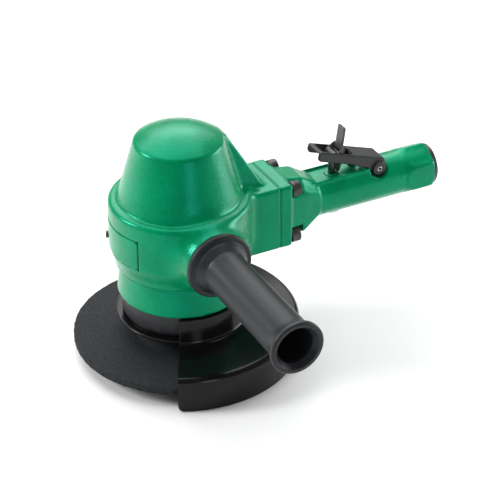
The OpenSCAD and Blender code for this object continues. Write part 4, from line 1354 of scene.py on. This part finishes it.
    def bushing_section(self) -> list[tuple[float, float]]:
        """Half section of the inlet bushing: collar, sleeve, and a bore with rows for its thread."""
        start = self.end - 14 + 2
        rows = [(7.5, h) for h in np.linspace(self.inlet_x - 1.2, self.inlet_x - 14, 74)]
        return [
            (8.6, self.inlet_x), (self.bushing_r - 0.9, self.inlet_x),
            (self.bushing_r - 0.25, self.inlet_x - 0.25), (self.bushing_r, self.inlet_x - 0.9),
            (self.bushing_r, self.end + 0.3), (self.bushing_r - 0.3, self.end), (12.0, self.end),
            (12.0, start), (6.0, start), (6.0, self.inlet_x - 14.2),
        ] + rows[::-1]

    def thread(self, angle: Array, radius: Array, height: Array) -> Array:
        """A helical groove: the bore's radius grows by depth * (1 - |2 t - 1|), t along the pitch."""
        turn = (height / self.thread_pitch - angle / (2 * math.pi)) % 1.0
        fade = np.clip((height - self.inlet_x + 13.5) / 1.5, 0.0, 1.0)
        groove = self.thread_depth * (1 - np.abs(2 * turn - 1)) * fade
        return np.where(np.abs(radius - 7.5) < 0.01, radius + groove, radius)

    def build(self) -> None:
        """Makes the casting, its four screws and the inlet bushing."""
        low, high = corners("throttle_handle")
        casting = Carved("handle_casting", self.solid, tuple(low), tuple(high), 0.8).build()
        self.put(casting, Finish.CASTING, "root", "throttle_handle")
        number = 0
        for side in (-1, 1):
            for level in (-1, 1):
                number += 1
                centre = (self.flange_end, side * self.screw_y, self.neck_z + level * self.screw_z)
                screw = Turned(f"flange_screw_{number}", self.screw_section(), Axis.HANDLE, centre, 108, 30)
                self.put(screw.build(self.screw_shape), Finish.DARK, "root", "flange_screws")
        centre = (0.0, 0.0, self.axis_z)
        bushing = Turned("inlet_ring", self.bushing_section(), Axis.HANDLE, centre, 120, 35)
        self.put(bushing.build(self.thread), Finish.DARK, "root", "inlet_bushing")
        self.paint.node("handle_gasket", Finish.CASTING)
        self.paint.node("inlet_strainer", Finish.STEEL)


@dataclass
class Lever(Part):
    """The folded throttle lever, its pin and the lock-off latch on it."""

    slope: float = 18.8
    length: float = 62.2
    top: float = 9.1
    half_w: float = 10.2
    sheet: float = 2.0
    ear_r: float = 6.6
    disc_r: float = 6.2
    disc_t: float = 2.4
    pin_r: float = 2.5
    window: tuple[float, float] = (-58.0, -27.0)
    window_corner: float = 4.5
    latch_arm: float = 43.3
    latch_rise: float = 5.0
    hub_r: float = 3.0
    latch_half_w: float = 8.0
    cheek: float = 1.6
    plate: float = 1.8
    lean: float = 7.8
    tab_foot: tuple[float, float] = (6.6, 5.0)
    tab_l: float = 18.9
    tab_half_w: float = 5.3
    toe_x: float = 4.2
    toe: float = 16.9
    toe_half_w: float = 2.6

    def __post_init__(self) -> None:
        """Takes the two pivots from the frame's joints."""
        self.px, _, self.pz = joint_place("lever_press")
        self.lx, _, self.lz = joint_place("latch_tip")

    def side_view(self) -> list[tuple[float, float]]:
        """The lever seen from the side, in its own frame: x to the rear, z up."""
        return (
            fillet([(-self.length, 5.6), (-self.length, self.top), (-self.length + 6, self.top)],
                   [0, 1.6, 0], 4)[:-1]
            + [(2.2, self.top), (3.6, self.top - 0.9), (5.2, 6.2)]
            + arc(0, 0, self.ear_r, 25, -145, 18)
            + [(-8, -2.5), (-26, 0.5)]
            + arc(-self.length + 4.5, 5.2, 4.5, 270, 190, 6)
        )

    def solid(self, x: Array, y: Array, z: Array) -> Array:
        """Distance to the lever: a channel folded from sheet, open under the front, with ears."""
        tilt = math.radians(self.slope)
        dx, dz = x - self.px, z - self.pz
        u = dx * math.cos(tilt) - dz * math.sin(tilt)
        h = dx * math.sin(tilt) + dz * math.cos(tilt)
        w = np.abs(y)
        inner = self.half_w - self.sheet
        shape = common(outline(u, h, self.side_view()), w - self.half_w, 1.5)
        shape = union(shape, bar(y, u, h, -self.half_w - self.disc_t, self.half_w + self.disc_t,
                                 self.disc_r, 0.8), 0.5)
        room = block(u, y, h, (-self.length - 6, -inner, -20), (30, inner, self.top - self.sheet), 0.8)
        window = common(common(span(u, *self.window), w - inner, self.window_corner), span(h, -20, 30), 0.2)
        shape = without(without(shape, room, 0.5), window, 0.6)
        shape = without(shape, np.hypot(u, h) - self.pin_r - 0.05, 0.25)
        return without(shape, np.hypot(u + self.latch_arm, h - self.latch_rise) - 1.5, 0.25)

    def latch(self, x: Array, y: Array, z: Array) -> Array:
        """Distance to the latch: a hub, two cheeks, a leaning tab and a plate that ends in a toe."""
        u, h, w = x - self.lx, z - self.lz, np.abs(y)
        half, back = self.latch_half_w, self.toe_x + self.plate
        cheek_line = [
            (-2.6, 1.5), (0.5, 3.2), (5.8, 6.6), (7.6, 6.4), (7.2, 3.2), (back, 0.5), (back, -4.5),
            (self.toe_x, -4.5), (-2.6, -2.0),
        ]
        cheek = common(outline(u, h, fillet(cheek_line, [1, 1, 0.8, 0.5, 0.5, 0.5, 0.3, 0.3, 1], 3)),
                       span(w, half - self.cheek, half), 0.5)
        turn = math.radians(self.lean)
        du, dh = u - self.tab_foot[0], h - self.tab_foot[1]
        a = du * math.cos(turn) - dh * math.sin(turn)
        b = du * math.sin(turn) + dh * math.cos(turn)
        slim = self.tab_half_w
        edge = [(-half, -1.5), (half, -1.5), (half, 1.5), (slim, 2.4), (slim, self.tab_l)]
        edge += [(-slim, self.tab_l), (-slim, 2.4), (-half, 1.5)]
        tab_line = fillet(edge, [0.3, 0.3, 0.8, 0.8, 1.8, 1.8, 0.8, 0.8], 4)
        tab = common(outline(y, b, tab_line), span(a, -self.plate / 2, self.plate / 2), 0.6)
        tip = self.toe_half_w
        edge = [(-half, 1), (half, 1), (half, -4.5), (tip, -self.toe), (-tip, -self.toe), (-half, -4.5)]
        toe_line = fillet(edge, [0.3, 0.3, 1.2, 1.0, 1.0, 1.2], 3)
        toe = common(outline(y, h, toe_line), span(u, self.toe_x, back), 0.5)
        hub = bar(y, u, h, -half, half, self.hub_r, 0.5)
        solid = union(union(cheek, toe, 0.4), union(tab, hub, 0.2), 0.5)
        return without(solid, np.hypot(u, h) - 1.55, 0.2)

    def pin_section(self) -> list[tuple[float, float]]:
        """Half section of the hollow lever pin, its ends chamfered inside and rounded outside."""
        half = self.half_w + self.disc_t
        r, bore = self.pin_r, self.pin_r / 2
        return [
            (bore, -half + 0.5), (bore + 0.4, -half), (r - 0.5, -half), (r, -half + 0.5),
            (r, half - 0.5), (r - 0.5, half), (bore + 0.4, half), (bore, half - 0.5),
        ]

    def build(self) -> None:
        """Makes the lever, the latch and the pin."""
        low, high = corners("throttle_lever")
        lever = Carved("lever_channel", self.solid, tuple(low), tuple(high), 0.5, 42).build()
        self.put(lever, Finish.LEVER, "lever", "throttle_lever")
        low, high = corners("lock_latch")
        latch = Carved("latch_plate", self.latch, tuple(low), tuple(high), 0.38, 42).build()
        self.put(latch, Finish.LATCH, "latch", "lock_latch")
        pin = Turned("pivot_tube", self.pin_section(), Axis.SIDE, (self.px, 0, self.pz), 64).build()
        self.put(pin, Finish.STEEL, "root", "lever_pin")
        for name in ("latch_pin", "latch_spring"):
            self.paint.node(name, Finish.DARK)


@dataclass
class SideHandle(Part):
    """The tubular side grip: a collar with a waisted neck, a long tube and a flared open end."""

    tube_r: float = 17.5
    collar_t: float = 5.5
    bore_r: float = 14.5
    bolt_r: float = 6.2
    web: float = 21.0
    flare: float = 8.0
    lip_r: float = 21.8

    def section(self) -> list[tuple[float, float]]:
        """Half section along the grip: collar, neck, tube, lip, hollow and web."""
        low, high = corners("side_grip")
        start, end = -high.y, -low.y
        collar_r = high.x
        back = start + self.collar_t
        points = [
            (self.bolt_r, start), (collar_r, start), (collar_r, back), (collar_r - 4.6, back + 0.4),
            (self.tube_r + 4.2, back + 2.8), (self.tube_r + 2.6, back + 5.2), (self.tube_r + 0.5, back + 8.5),
            (self.tube_r, start + 17), (self.tube_r + 0.4, end - self.flare - 5),
            (self.tube_r + 1.6, end - self.flare + 1), (self.lip_r, end - 4.2), (self.lip_r, end),
            (self.bore_r + 3.6, end), (self.bore_r, end - 5), (self.bore_r, start + self.web),
            (self.bolt_r, start + self.web),
        ]
        radii = [0.4, 1.6, 2.2, 1.5, 2.0, 2.0, 4.0, 0.0, 20.0, 6.0, 2.0, 1.6, 1.2, 2.0, 1.5, 0.4]
        return fillet(points, radii, 7)

    def build(self) -> None:
        """Makes the grip and dresses its bolt."""
        low, high = corners("side_grip")
        centre = (0.0, 0.0, (low.z + high.z) / 2)
        grip = Turned("side_handle_grip", self.section(), Axis.SIDE, centre, 192, 38).build()
        self.put(grip, Finish.GRIP, "root", "side_grip")
        self.paint.node("side_bolt", Finish.STEEL)
        self.paint.node("side_washer", Finish.STEEL)


@dataclass
class Works(Part):
    """The motor, its bearings, the governor and the throttle valve, which keep their CAD shapes."""

    steel: tuple[str, ...] = (
        "lower_bearing_outer", "upper_bearing_outer", "lower_end_plate", "cylinder_liner",
        "upper_end_plate", "retainer_screws", "valve_seat", "valve_cap", "valve_spring", "spindle",
        "lower_bearing_inner", "lower_bearing_balls", "upper_bearing_inner", "upper_bearing_balls",
        "governor_carrier", "governor_pins", "governor_sleeve", "governor_spring", "governor_nut",
    )
    dark: tuple[str, ...] = (
        "bearing_retainer", "valve_poppet", "rotor", "governor_weight_a", "governor_weight_b",
        "valve_plunger",
    )

    def build(self) -> None:
        """Dresses the inner pieces."""
        for name in self.steel:
            self.paint.node(name, Finish.STEEL)
        for name in self.dark:
            self.paint.node(name, Finish.DARK)
        self.paint.node("rotor_vanes", Finish.FIBRE)
        self.paint.node("valve_guide", Finish.CASTING)


# ---------------------------------------------------------------- studio


@dataclass(frozen=True)
class Studio:
    """The camera, a pale floor and soft lights."""

    azimuth: float = -27.62
    elevation: float = 32.18
    distance: float = 1600.0
    target: tuple[float, float, float] = (48.78, -27.55, 79.25)
    lens: float = 142.88
    sky: float = 0.25
    aim: tuple[float, float, float] = (40.0, -20.0, 90.0)
    floor_reach: float = 6000.0
    floor_tone: Colour = (0.93, 0.93, 0.93, 1.0)

    def camera(self) -> None:
        """Looks at the target from an azimuth, where 0 looks along +Y, and an elevation."""
        turn, lift = math.radians(self.azimuth), math.radians(self.elevation)
        away = Vector((math.sin(turn) * math.cos(lift), -math.cos(turn) * math.cos(lift), math.sin(lift)))
        target = Vector(self.target)
        data = bpy.data.cameras.new("camera")
        data.lens, data.sensor_width = self.lens, 36.0
        data.clip_start, data.clip_end = 0.05, 50.0
        camera = bpy.data.objects.new("camera", data)
        camera.location = (target + away * self.distance) * MM
        camera.rotation_euler = (-away).to_track_quat("-Z", "Y").to_euler()
        bpy.context.scene.collection.objects.link(camera)
        bpy.context.scene.camera = camera

    def floor(self) -> None:
        """A wide pale floor at the height that the guard's rim stands on."""
        height = corners("wheel_guard")[0].z
        reach = self.floor_reach
        points = np.array([[-reach, -reach, height], [reach, -reach, height],
                           [reach, reach, height], [-reach, reach, height]])
        mesh = bpy.data.meshes.new("floor")
        mesh.from_pydata((points * MM).tolist(), [], [(0, 1, 2, 3)])
        floor = bpy.data.objects.new("floor", mesh)
        bpy.context.scene.collection.objects.link(floor)
        g = Graph("pale_floor")
        g.feed(Base_Color=self.floor_tone, Roughness=0.75, Specular_IOR_Level=0.2)
        mesh.materials.append(g.material)

    @staticmethod
    def lamp(name: str, place: tuple, aim: tuple, size: tuple[float, float], power: float) -> None:
        """An area light in millimetres that looks at a point.

        Args:
            name: the light's name.
            place: where it stands.
            aim: the point it looks at.
            size: its width and height.
            power: its power in watts.
        """
        data = bpy.data.lights.new(name, "AREA")
        data.shape, data.size, data.size_y = "RECTANGLE", size[0] * MM, size[1] * MM
        data.energy = power
        lamp = bpy.data.objects.new(name, data)
        lamp.location = Vector(place) * MM
        lamp.rotation_euler = (Vector(aim) - Vector(place)).to_track_quat("-Z", "Y").to_euler()
        bpy.context.scene.collection.objects.link(lamp)

    def build(self) -> None:
        """Places the camera, the floor, the sky and the lights."""
        self.camera()
        self.floor()
        world = bpy.data.worlds.new("studio")
        world.use_nodes = True
        sky = next(n for n in world.node_tree.nodes if n.type == "BACKGROUND")
        sky.inputs["Color"].default_value = (1.0, 1.0, 1.0, 1.0)
        sky.inputs["Strength"].default_value = self.sky
        bpy.context.scene.world = world
        self.lamp("top_soft", (200, 1300, 2800), self.aim, (3400, 3400), 114.0)
        self.lamp("back_panel", (1150, 2150, 1750), self.aim, (2500, 1400), 22.0)
        self.lamp("left_key", (-1500, 700, 1000), self.aim, (500, 700), 26.0)
        self.lamp("front_strip", (-60, -1500, 150), self.aim, (360, 600), 2.6)
        self.lamp("right_soft", (1550, -300, 250), self.aim, (800, 800), 15.0)
        bpy.context.scene.view_settings.view_transform = "Standard"


def main() -> None:
    """Builds the studio and every sub-assembly in order."""
    logging.basicConfig(level=logging.INFO, format="%(name)s: %(message)s")
    Studio().build()
    paint = Paint()
    for kind in (MotorHousing, Nose, Wheel, ThrottleHandle, Lever, SideHandle, Works):
        part = kind(paint)
        part.build()
        LOG.info("%s done", kind.__name__)


if __name__ == "__main__":
    main()
